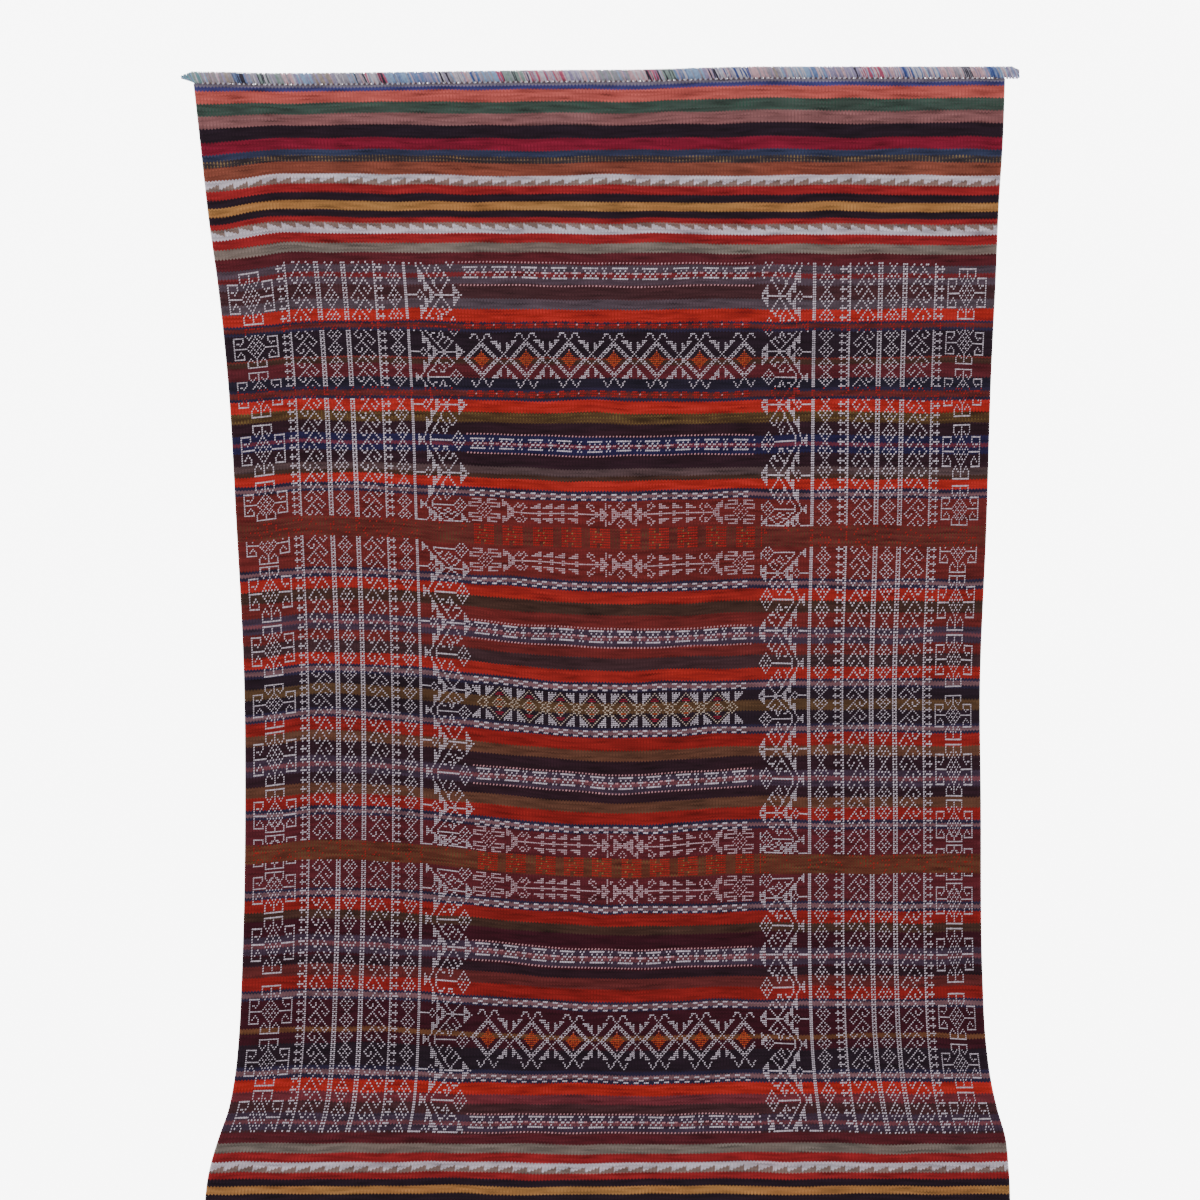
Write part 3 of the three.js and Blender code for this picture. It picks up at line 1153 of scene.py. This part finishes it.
def rib_wool(yarn):
    """The wool that covers the warps."""
    return linear(STRIPE_WOOLS[yarn])


def furrow_wool_or_painted_shade(yarn):
    """The second wool that glints in the furrow, or else the first one darkened as painted shade.
    """
    if yarn in FURROW_WOOLS:
        return linear(FURROW_WOOLS[yarn])
    return tuple(FURROW_PAINTED_SHADE * part for part in linear(STRIPE_WOOLS[yarn])[:3]) + (1.0,)


def striped(nodes, down, wool):
    """The colour at a place down the cloth, for the rib's wool or for the furrow's second wool and
    painted shade.
    """
    colour = None
    for start in range(0, len(STRIPES), RAMP_STRIPES):
        run = STRIPES[start:start + RAMP_STRIPES]
        top = run[0][1]
        height = run[-1][1] + run[-1][2] - top
        stops = [((place - top) / height, wool(yarn)) for yarn, place, _ in run]
        share = nodes.math("DIVIDE", nodes.math("SUBTRACT", down, top), height)
        reached = nodes.math("GREATER_THAN", down, top)
        here = nodes.ramp(share, stops)
        colour = here if colour is None else nodes.mix(reached, colour, here)
    return colour


def saw_place(nodes, across, down):
    """Sends each place of a white band into one of its two wools, parted by long saw teeth."""
    phase = nodes.math("FRACT", nodes.math("DIVIDE", across, SAW_PITCH))
    saw = nodes.math("MULTIPLY", nodes.math("SUBTRACT", phase, SAW_MIDDLE), SAW_HEIGHT)
    place = down
    for motif, _, _, start, height in BLOCKS:
        if motif.startswith("teeth"):
            middle = start + height / 2
            sign = 1.0 if motif == "teeth_up" else -1.0
            line = nodes.math("MULTIPLY_ADD", saw, sign, down)
            lower = nodes.math("GREATER_THAN", line, middle)
            wool = nodes.math("MULTIPLY_ADD", lower, height / 2, middle - height / 4)
            away = nodes.math("ABSOLUTE", nodes.math("SUBTRACT", down, middle))
            inside = nodes.math("LESS_THAN", away, height / 2)
            move = nodes.math("SUBTRACT", wool, place)
            place = nodes.math("MULTIPLY_ADD", inside, move, place)
    return place


print("stripe ramps:", math.ceil(len(STRIPES) / RAMP_STRIPES))

# %% The cloth's material
# Each of the cloth's uneven patterns is a noise. A stretch below 1 draws it out along the weft.
CLOTH_NOISES = {
    "stray": dict(stretch=1.0, scale=7.0, detail=3.0),
    "streak": dict(stretch=0.07, scale=260.0, detail=5.0),
    "abrash": dict(stretch=0.1, scale=95.0, detail=6.0),
    "patch": dict(stretch=1.0, scale=4.5, detail=3.0),
    "dye": dict(stretch=0.3, scale=15.0, detail=3.0),
    "fuzz": dict(stretch=1.0, scale=900.0, detail=2.0),
}
STRAY_REACH = 6 * MM
FURROW_STREAK = 2.2
FURROW_LEVEL = 2.0
FADE = dict(base=-1.15, patch=0.5, abrash=1.4, streak=2.4)
COOL = dict(base=0.8, dye=0.4)
WOOL_ROUGHNESS = 0.9
WOOL_SPECULAR = 0.15
RIB_RELIEF = 0.8 * MM
RIB_RELIEF_STRENGTH = 0.6
FUZZ_PART = 0.6


def cloth_noise(nodes, name, across, down):
    """One uneven pattern of the cloth, as a number from 0 to 1."""
    kind = CLOTH_NOISES[name]
    place = nodes.vector(nodes.math("MULTIPLY", across, kind["stretch"]), down)
    return nodes.noise(place, kind["scale"], kind["detail"])


def strayed_down(nodes, across, down, rib):
    """The place down the cloth, moved by the teeth of the joints and the weaver's hand."""
    stray = cloth_noise(nodes, "stray", across, down)
    shift = nodes.math("MULTIPLY", nodes.math("SUBTRACT", rib, 0.5), 2 * JOINT_TEETH)
    shift = nodes.math("MULTIPLY_ADD", nodes.math("SUBTRACT", stray, 0.5), STRAY_REACH, shift)
    return nodes.math("ADD", down, shift)


def faded(nodes, colour, streak, across, down, strayed):
    """A colour made lighter and darker in streaks and patches, as uneven dye is."""
    abrash = cloth_noise(nodes, "abrash", across, strayed)
    patch = cloth_noise(nodes, "patch", across, down)
    fade = nodes.math("MULTIPLY_ADD", patch, FADE["patch"], FADE["base"])
    fade = nodes.math("MULTIPLY_ADD", abrash, FADE["abrash"], fade)
    fade = nodes.math("MULTIPLY_ADD", streak, FADE["streak"], fade)
    dye = cloth_noise(nodes, "dye", across, down)
    cool = nodes.math("MULTIPLY", fade, nodes.math("MULTIPLY_ADD", dye, COOL["dye"], COOL["base"]))
    return nodes.darken(colour, fade, cool, cool)


def make_weave():
    """The striped wool of the cloth, in ribs over the warps."""
    material = bpy.data.materials.new("striped_wool")
    nodes = Nodes(material)
    u, v = nodes.split(nodes.own_map())
    across = nodes.math("MULTIPLY", u, RUG_WIDTH)
    down = nodes.math("MULTIPLY", v, CLOTH_LENGTH)
    rib = nodes.math("PINGPONG", nodes.math("DIVIDE", across, RIB_PITCH / 2), 1.0)
    strayed = strayed_down(nodes, across, down, rib)
    place = saw_place(nodes, across, strayed)
    streak = cloth_noise(nodes, "streak", across, strayed)
    depth = nodes.math("MULTIPLY_ADD", streak, FURROW_STREAK, rib)
    # The furrow mask: there the colour is a second wool, or else the rib's wool darkened as
    # painted shade.
    furrow = nodes.math("GREATER_THAN", depth, FURROW_LEVEL)
    ribs, furrows = striped(nodes, place, rib_wool), striped(nodes, place, furrow_wool_or_painted_shade)
    wool = nodes.mix(furrow, ribs, furrows)
    colour = faded(nodes, wool, streak, across, down, strayed)
    nodes.finish(colour, WOOL_ROUGHNESS, WOOL_SPECULAR)
    fuzz = cloth_noise(nodes, "fuzz", across, down)
    round_rib = nodes.math("SINE", nodes.math("MULTIPLY", rib, math.pi / 2))
    height = nodes.math("MULTIPLY_ADD", fuzz, FUZZ_PART, round_rib)
    nodes.bump(height, RIB_RELIEF, RIB_RELIEF_STRENGTH)
    return material


cloth.data.materials.append(make_weave())
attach(cloth, "root")
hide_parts("rug_cloth")
print("cloth dressed")

# %% [markdown]
# The floats. On the rug each is a turn of yarn round a few warps. Here each is a small pill
# that Geometry Nodes sets on a point of the chart, sized to its square and turned along its
# weft line. A weaver's hand varies, so each float's size and tilt differ a little.

# %% Points of the floats
FLOAT_HEIGHT = 1.1 * MM
FLOAT_FILL_ACROSS = 0.88
FLOAT_FILL_DOWN = 0.63
FLOAT_UNEVEN = 0.07
FLOAT_TILT = 0.05
FLOAT_SEED = 5
ACROSS_STEP = 0.002


def row_places():
    """The place and height of each chart row."""
    downs, heights = np.zeros(CHART_ROWS), np.zeros(CHART_ROWS)
    for _, first, rows, start, height in BLOCKS:
        for row in range(rows):
            downs[first + row] = start + (row + 0.5) / rows * height
            heights[first + row] = height / rows
    return downs, heights


ROW_DOWN, ROW_HEIGHT = row_places()


def float_points(wool):
    """Places, turns and sizes of all floats of one wool."""
    rows, columns = np.nonzero(chart == FLOAT_NAMES.index(wool))
    across, down = COLUMN_ACROSS[columns], ROW_DOWN[rows]
    x, y, z = on_cloth(across, down)
    x2, y2, _ = on_cloth(across + ACROSS_STEP, down)
    turn = np.arctan2(y2 - y, x2 - x)
    width = np.hypot(x2 - x, y2 - y) / ACROSS_STEP * COLUMN_WIDTH[columns]
    chance = np.random.default_rng(FLOAT_SEED)
    uneven = chance.normal(1.0, FLOAT_UNEVEN, (3, len(rows)))
    size = np.stack([
        width * FLOAT_FILL_ACROSS * uneven[0],
        ROW_HEIGHT[rows] * FLOAT_FILL_DOWN * uneven[1],
        FLOAT_HEIGHT * uneven[2],
    ], axis=1)
    place = np.stack([x, y, z + cloth_thickness(across)], axis=1)
    turn = turn + chance.normal(0, FLOAT_TILT, len(rows))
    return place, turn, size


def points_object(name, place, turn, size, tint):
    """A cloud of points that carries what each instance needs."""
    mesh = bpy.data.meshes.new(name)
    mesh.from_pydata(place.tolist(), [], [])
    for label, values in (("turn", turn), ("tint", tint)):
        attribute = mesh.attributes.new(label, "FLOAT", "POINT")
        attribute.data.foreach_set("value", values.astype(np.float32))
    attribute = mesh.attributes.new("size", "FLOAT_VECTOR", "POINT")
    attribute.data.foreach_set("vector", size.astype(np.float32).ravel())
    cloud = bpy.data.objects.new(name, mesh)
    bpy.context.scene.collection.objects.link(cloud)
    return cloud


print("white floats:", len(float_points("white")[0]))

# %% Geometry Nodes that set a shape on each point
INPUTS = {"Points": "Geometry", "Wool": "Material", "Roundness": "Float"}
PILL_GRID = {"Size X": 1.0, "Size Y": 1.0, "Vertices X": 4, "Vertices Y": 3}
PILL_SHOULDER = 0.4


def set_on_points(name, add_shape):
    """A node group: a shape on each point, turned, sized, made real, and given a material."""
    group = bpy.data.node_groups.new(name, "GeometryNodeTree")
    for label, kind in INPUTS.items():
        group.interface.new_socket(label, in_out="INPUT", socket_type="NodeSocket" + kind)
    group.interface.new_socket("Geometry", in_out="OUTPUT", socket_type="NodeSocketGeometry")
    nodes, links = group.nodes, group.links
    entry = nodes.new("NodeGroupInput")
    leave = nodes.new("NodeGroupOutput")
    instance = nodes.new("GeometryNodeInstanceOnPoints")
    realize = nodes.new("GeometryNodeRealizeInstances")
    paint = nodes.new("GeometryNodeSetMaterial")
    smooth = nodes.new("GeometryNodeSetShadeSmooth")

    def named(label, kind):
        node = nodes.new("GeometryNodeInputNamedAttribute")
        node.data_type = kind
        node.inputs["Name"].default_value = label
        return node.outputs[0]

    turn = nodes.new("ShaderNodeCombineXYZ")
    links.new(named("turn", "FLOAT"), turn.inputs["Z"])
    links.new(entry.outputs["Points"], instance.inputs["Points"])
    links.new(add_shape(nodes, links, entry), instance.inputs["Instance"])
    links.new(turn.outputs[0], instance.inputs["Rotation"])
    links.new(named("size", "FLOAT_VECTOR"), instance.inputs["Scale"])
    links.new(instance.outputs[0], realize.inputs[0])
    links.new(realize.outputs[0], smooth.inputs[0])
    links.new(smooth.outputs[0], paint.inputs[0])
    links.new(entry.outputs["Wool"], paint.inputs["Material"])
    links.new(paint.outputs[0], leave.inputs[0])
    return group


def pill_shape(nodes, links, entry):
    """A unit pill: a small grid whose inner points are raised."""
    grid = nodes.new("GeometryNodeMeshGrid")
    for label, value in PILL_GRID.items():
        grid.inputs[label].default_value = value
    place = nodes.new("GeometryNodeInputPosition")
    split = nodes.new("ShaderNodeSeparateXYZ")
    links.new(place.outputs[0], split.inputs[0])

    def figure(operation, *sockets):
        node = nodes.new("ShaderNodeMath")
        node.operation = operation
        for socket, entrance in zip(sockets, node.inputs):
            links.new(socket, entrance)
        return node

    def inside(socket):
        less = figure("LESS_THAN", figure("ABSOLUTE", socket).outputs[0])
        less.inputs[1].default_value = PILL_SHOULDER
        return less.outputs[0]

    both = figure("MULTIPLY", inside(split.outputs[0]), inside(split.outputs[1]))
    rise = figure("MULTIPLY", both.outputs[0], entry.outputs["Roundness"])
    offset = nodes.new("ShaderNodeCombineXYZ")
    links.new(rise.outputs[0], offset.inputs["Z"])
    move = nodes.new("GeometryNodeSetPosition")
    links.new(grid.outputs["Mesh"], move.inputs["Geometry"])
    links.new(offset.outputs[0], move.inputs["Offset"])
    return move.outputs[0]


def make_real(cloud, group, values):
    """Runs the node group on the points, and returns a plain mesh object."""
    modifier = cloud.modifiers.new("nodes", "NODES")
    modifier.node_group = group
    for item in group.interface.items_tree:
        if item.name in values and item.in_out == "INPUT":
            modifier[item.identifier] = values[item.name]
    depsgraph = bpy.context.evaluated_depsgraph_get()
    mesh = bpy.data.meshes.new_from_object(cloud.evaluated_get(depsgraph))
    name = cloud.name
    bpy.data.objects.remove(cloud)
    made = bpy.data.objects.new(name, mesh)
    bpy.context.scene.collection.objects.link(made)
    return made


pill_group = set_on_points("floats_on_points", pill_shape)
print("node group", pill_group.name, "with", len(pill_group.nodes), "nodes")

# %% The floats, one piece for each wool
PIECE_FLOATS = 15000
TINT_MIDDLE = 0.5
TINT_UNEVEN = 0.09
FLOAT_FADE = dict(base=0.25, soft=0.5, scale=9.0, detail=3.0)


def make_yarn(name, hex_colour):
    """A wool whose colour varies from float to float and over the rug."""
    material = bpy.data.materials.new(name)
    nodes = Nodes(material)
    soft = nodes.noise(nodes.own_place(), FLOAT_FADE["scale"], FLOAT_FADE["detail"])
    fade = nodes.math("MULTIPLY_ADD", soft, FLOAT_FADE["soft"], nodes.own_value("tint"))
    fade = nodes.math("ADD", fade, FLOAT_FADE["base"])
    colour = nodes.darken(linear(hex_colour), fade, fade, fade)
    nodes.finish(colour, WOOL_ROUGHNESS, WOOL_SPECULAR)
    return material


def make_floats():
    """All floats, in pieces of one wool with at most PIECE_FLOATS each."""
    made = []
    for wool, hex_colour in FLOAT_WOOLS.items():
        place, turn, size = float_points(wool)
        material = make_yarn("yarn_" + wool, hex_colour)
        for number, first in enumerate(range(0, len(place), PIECE_FLOATS)):
            part = slice(first, first + PIECE_FLOATS)
            chance = np.random.default_rng(FLOAT_SEED)
            tint = chance.normal(TINT_MIDDLE, TINT_UNEVEN, len(place[part]))
            name = "floats_" + wool + "_" + str(number + 1)
            cloud = points_object(name, place[part], turn[part], size[part], tint)
            made.append(make_real(cloud, pill_group, {"Wool": material, "Roundness": 1.0}))
    return made


float_pieces = make_floats()
for piece in float_pieces:
    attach(piece, "root")
print({piece.name: len(piece.data.polygons) for piece in float_pieces})

# %% [markdown]
# The ends. The warps of the real rug are gathered in bundles and plaited flat along the
# edge, so that the weft can't slip off. Left-over yarn of many colours went into the plait,
# in runs of a few centimetres, each of one colour with streaks of another. Geometry Nodes
# lay a slanting yarn on each point of a line, over a grey core, and beads along its foot.
# A run is written as its length, its main colour and its streaks.

# %% Colours of the end plaits
PLAIT_COLOURS = {
    "white": "B6B0BC", "grey": "8F8996", "lilac": "8E84A4", "blue": "667AA6", "sky": "8098BA",
    "deep": "3E4E86", "pink": "C09AA2", "rose": "A8506A", "dark": "34303C", "green": "7C8C88",
    "beige": "94867F", "teal": "5C8490", "brown": "5C4A4E",
}
PLAIT_NAMES = list(PLAIT_COLOURS)
PLAIT_RUNS = """
22 teal green, 30 beige grey, 15 blue dark, 10 grey white, 12 green dark, 14 green grey,
12 pink grey, 20 sky lilac, 17 beige lilac, 20 grey white, 13 grey dark, 12 white rose,
10 rose dark, 24 sky blue, 28 blue lilac, 14 grey dark, 8 white grey, 8 pink rose, 9 deep blue,
18 sky grey, 6 rose dark, 25 green dark, 20 white rose, 18 pink rose, 12 lilac white,
20 pink white, 30 grey green, 18 pink white, 12 dark rose, 16 green dark, 12 blue white,
16 sky grey, 14 lilac dark, 32 white deep, 18 pink grey, 12 beige grey, 30 sky white,
16 blue white, 17 lilac pink, 18 lilac dark, 22 rose white, 20 pink lilac, 10 deep blue,
26 white blue, 24 pink grey, 8 dark grey, 16 pink lilac, 13 blue deep, 20 white lilac
"""
STREAK_SHARE = 0.34
BLEND_SHARE = 0.3
BLEND_COLOURS = ("white", "lilac", "sky", "grey", "pink")


def run_colours(share, chance):
    """The colour number of each yarn at its share of the plait's length."""
    runs = [run.split() for run in PLAIT_RUNS.replace("\n", " ").split(",")]
    ends = np.cumsum([float(length) for length, _, _ in runs])
    number = np.clip(np.searchsorted(ends / ends[-1], share), 0, len(runs) - 1)
    main = np.array([PLAIT_NAMES.index(run[1]) for run in runs])[number]
    streak = np.array([PLAIT_NAMES.index(run[2]) for run in runs])[number]
    colour = np.where(chance.random(len(share)) < STREAK_SHARE, streak, main)
    blend = np.array([PLAIT_NAMES.index(name) for name in BLEND_COLOURS])
    blend = blend[chance.integers(0, len(blend), len(share))]
    return np.where(chance.random(len(share)) < BLEND_SHARE, blend, colour)


print(len(PLAIT_RUNS.split(",")), "runs of colour")

# %% The line that a plait follows
PLAIT_WIDTH = 25 * MM
PLAIT_THICKNESS = 8 * MM
PLAIT_REACH = 903 * MM
PLAIT_GAP = 0.3 * MM
POINTED_TAIL = 30 * MM
POINTED_END = 0.12
BLUNT_TAIL = 12 * MM
BLUNT_END = 0.55
ENDS = {"end_plait_first": (1, 0.0), "end_plait_second": (-1, CLOTH_LENGTH)}


def plait_taper(along):
    """How wide the plait is at a place along it, as a part of its full width."""
    to_point = np.clip((along + PLAIT_REACH) / POINTED_TAIL, 0, 1)
    to_blunt = np.clip((PLAIT_REACH - along) / BLUNT_TAIL, 0, 1)
    pointed = POINTED_END + (1 - POINTED_END) * to_point
    return np.minimum(pointed, BLUNT_END + (1 - BLUNT_END) * to_blunt)


def plait_place(name, along, out):
    """A place on the floor, out by so many half widths from the plait's middle line."""
    side, down = ENDS[name]
    line_x, line_y, _ = on_cloth(np.linspace(0, 1, RIM_POINTS), np.full(RIM_POINTS, down))
    x = side * along
    half = PLAIT_WIDTH / 2
    y = np.interp(x, line_x, line_y) + side * (PLAIT_GAP + half * (1 + out * plait_taper(along)))
    return x, y


print("plait of", round(2 * PLAIT_REACH, 3), "m")

# %% The core of a plait
CORE_STEPS = 300
CORE_HEIGHT = 0.55
CORE_INSET = 2 * MM
# Points of the core's section, in half widths of the plait and in parts of the core's height.
CORE_SECTION = [
    (-0.86, 0.35), (-0.55, 0.85), (0, 1), (0.55, 0.85), (0.86, 0.35), (0.6, 0), (-0.6, 0),
]


def core_mesh(name):
    """A flat closed tube along the plait, under its yarns."""
    reach = PLAIT_REACH - CORE_INSET
    along = np.linspace(-reach, reach, CORE_STEPS)
    points = []
    for out, up in CORE_SECTION:
        x, y = plait_place(name, along, np.full(CORE_STEPS, out))
        points.append(np.stack([x, y, up * CORE_HEIGHT * PLAIT_THICKNESS * plait_taper(along)], 1))
    ring = len(CORE_SECTION)
    place = np.stack(points, 1).reshape(-1, 3)
    faces = []
    for step in range(CORE_STEPS - 1):
        for corner in range(ring):
            here, after = step * ring, (corner + 1) % ring
            faces.append((here + corner, here + after, here + ring + after, here + ring + corner))
    faces.append(tuple(range(ring))[::-1])
    faces.append(tuple((CORE_STEPS - 1) * ring + corner for corner in range(ring)))
    mesh = bpy.data.meshes.new("core")
    mesh.from_pydata(place.tolist(), [], faces)
    tint = mesh.attributes.new("tint", "FLOAT", "POINT")
    tint.data.foreach_set("value", np.full(len(place), PLAIT_NAMES.index("grey"), np.float32))
    return mesh


print("core of", CORE_STEPS, "rings")

# %% Yarns and beads of the plaits
YARN_PITCH = 1.9 * MM
YARN_LEAN = 11 * MM
YARN_RING = 0.115
YARN_FILL = 0.93
YARN_RISE = 0.95
YARN_FOOT = 0.9 * MM
YARN_INSET = 0.6
YARN_STRAY = 0.3 * MM
YARN_UNEVEN = dict(width=0.02, lean=0.12, height=0.06)
YARN_BOW = {
    "Start": (-0.5, 0.5, 0.0), "Start Handle": (-0.42, 0.34, 1.1),
    "End Handle": (0.42, -0.34, 1.1), "End": (0.5, -0.5, 0.0), "Resolution": 7,
}
YARN_SIDES = 6
BEAD_LINE = 1.74
BEAD_PITCH = 5.6 * MM
BEAD_INSET = 0.012
BEAD_OUT = 1.5 * MM
BEAD_SIZE = (0.0042, 0.006, 0.0022)
PLAIT_SEED = 8
PLAIT_FADE = dict(base=0.55, soft=0.9, scale=160.0, detail=3.0)
PLAIT_FUZZ = 900.0
PLAIT_RELIEF = 0.5 * MM
PLAIT_RELIEF_STRENGTH = 0.5
PLAIT_ROUGHNESS = 0.85
PLAIT_SPECULAR = 0.2


def yarn_shape(nodes, links, entry):
    """A unit yarn: a bowed tube from one corner of its square to the other."""
    curve = nodes.new("GeometryNodeCurvePrimitiveBezierSegment")
    for label, value in YARN_BOW.items():
        curve.inputs[label].default_value = value
    ring = nodes.new("GeometryNodeCurvePrimitiveCircle")
    ring.inputs["Resolution"].default_value = YARN_SIDES
    links.new(entry.outputs["Roundness"], ring.inputs["Radius"])
    tube = nodes.new("GeometryNodeCurveToMesh")
    links.new(curve.outputs[0], tube.inputs["Curve"])
    links.new(ring.outputs[0], tube.inputs["Profile Curve"])
    tube.inputs["Fill Caps"].default_value = True
    return tube.outputs[0]


def yarn_points(name):
    """Places, turns, sizes and colours of all yarns of one plait."""
    chance = np.random.default_rng(PLAIT_SEED)
    reach = PLAIT_REACH - YARN_LEAN * YARN_INSET
    along = np.arange(-reach, reach, YARN_PITCH)
    count = len(along)
    along = along + chance.normal(0, YARN_STRAY, count)
    taper = plait_taper(along)
    x, y = plait_place(name, along, np.zeros(count))
    x2, y2 = plait_place(name, along + MM, np.zeros(count))
    width = PLAIT_WIDTH * YARN_FILL * taper * chance.normal(1, YARN_UNEVEN["width"], count)
    lean = YARN_LEAN * chance.normal(1, YARN_UNEVEN["lean"], count)
    height = PLAIT_THICKNESS * chance.normal(1, YARN_UNEVEN["height"], count)
    height = height * np.sqrt(taper) * YARN_RISE
    turn = np.arctan2(y2 - y, x2 - x)
    colour = run_colours((along + PLAIT_REACH) / (2 * PLAIT_REACH), chance)
    place = np.stack([x, y, np.full(count, YARN_FOOT)], 1)
    return place, turn, np.stack([lean, width, height], 1), colour


def bead_points(name):
    """Pale and dark beads where the warps leave the cloth."""
    side, down = ENDS[name]
    line = np.linspace(BEAD_INSET, 1 - BEAD_INSET, int(BEAD_LINE / BEAD_PITCH))
    x, y, z = on_cloth(line, np.full(len(line), down))
    number = np.arange(len(line))
    pale, dark = PLAIT_NAMES.index("white"), PLAIT_NAMES.index("brown")
    colour = np.where(number % 2, dark, pale)
    place = np.stack([x, y + side * BEAD_OUT, z + CLOTH_THICKNESS], 1)
    size = np.tile(BEAD_SIZE, (len(line), 1))
    return place, np.zeros(len(line)), size, colour


def make_plait_wool():
    """One wool whose colour is the yarn's number on a ramp, uneven and fuzzy all over."""
    material = bpy.data.materials.new("plait_wool")
    nodes = Nodes(material)
    count = len(PLAIT_NAMES)
    share = nodes.math("DIVIDE", nodes.math("ADD", nodes.own_value("tint"), 0.5), count)
    colours = [linear(hex_colour) for hex_colour in PLAIT_COLOURS.values()]
    colour = nodes.ramp(share, [(number / count, wool) for number, wool in enumerate(colours)])
    soft = nodes.noise(nodes.own_place(), PLAIT_FADE["scale"], PLAIT_FADE["detail"])
    fade = nodes.math("MULTIPLY_ADD", soft, PLAIT_FADE["soft"], PLAIT_FADE["base"])
    nodes.finish(nodes.darken(colour, fade, fade, fade), PLAIT_ROUGHNESS, PLAIT_SPECULAR)
    fuzz = nodes.noise(nodes.own_place(), PLAIT_FUZZ)
    nodes.bump(fuzz, PLAIT_RELIEF, PLAIT_RELIEF_STRENGTH)
    return material


def join(objects, name):
    """Joins mesh objects into the first one."""
    with bpy.context.temp_override(active_object=objects[0], selected_editable_objects=objects):
        bpy.ops.object.join()
    objects[0].name = name
    return objects[0]


def make_plait(name, material):
    """One end's plait: its core, its yarns and its beads in one piece."""
    core = bpy.data.objects.new(name + "_core", core_mesh(name))
    core.data.materials.append(material)
    bpy.context.scene.collection.objects.link(core)
    yarns = points_object(name + "_yarns", *yarn_points(name))
    yarns = make_real(yarns, yarn_group, {"Wool": material, "Roundness": YARN_RING})
    beads = points_object(name + "_beads", *bead_points(name))
    beads = make_real(beads, pill_group, {"Wool": material, "Roundness": 1.0})
    return join([core, yarns, beads], name + "_yarns")


yarn_group = set_on_points("yarns_on_points", yarn_shape)
plait_wool = make_plait_wool()
for end in ENDS:
    plait = make_plait(end, plait_wool)
    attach(plait, "root")
    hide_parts(end)
    print(plait.name, len(plait.data.polygons), "faces")
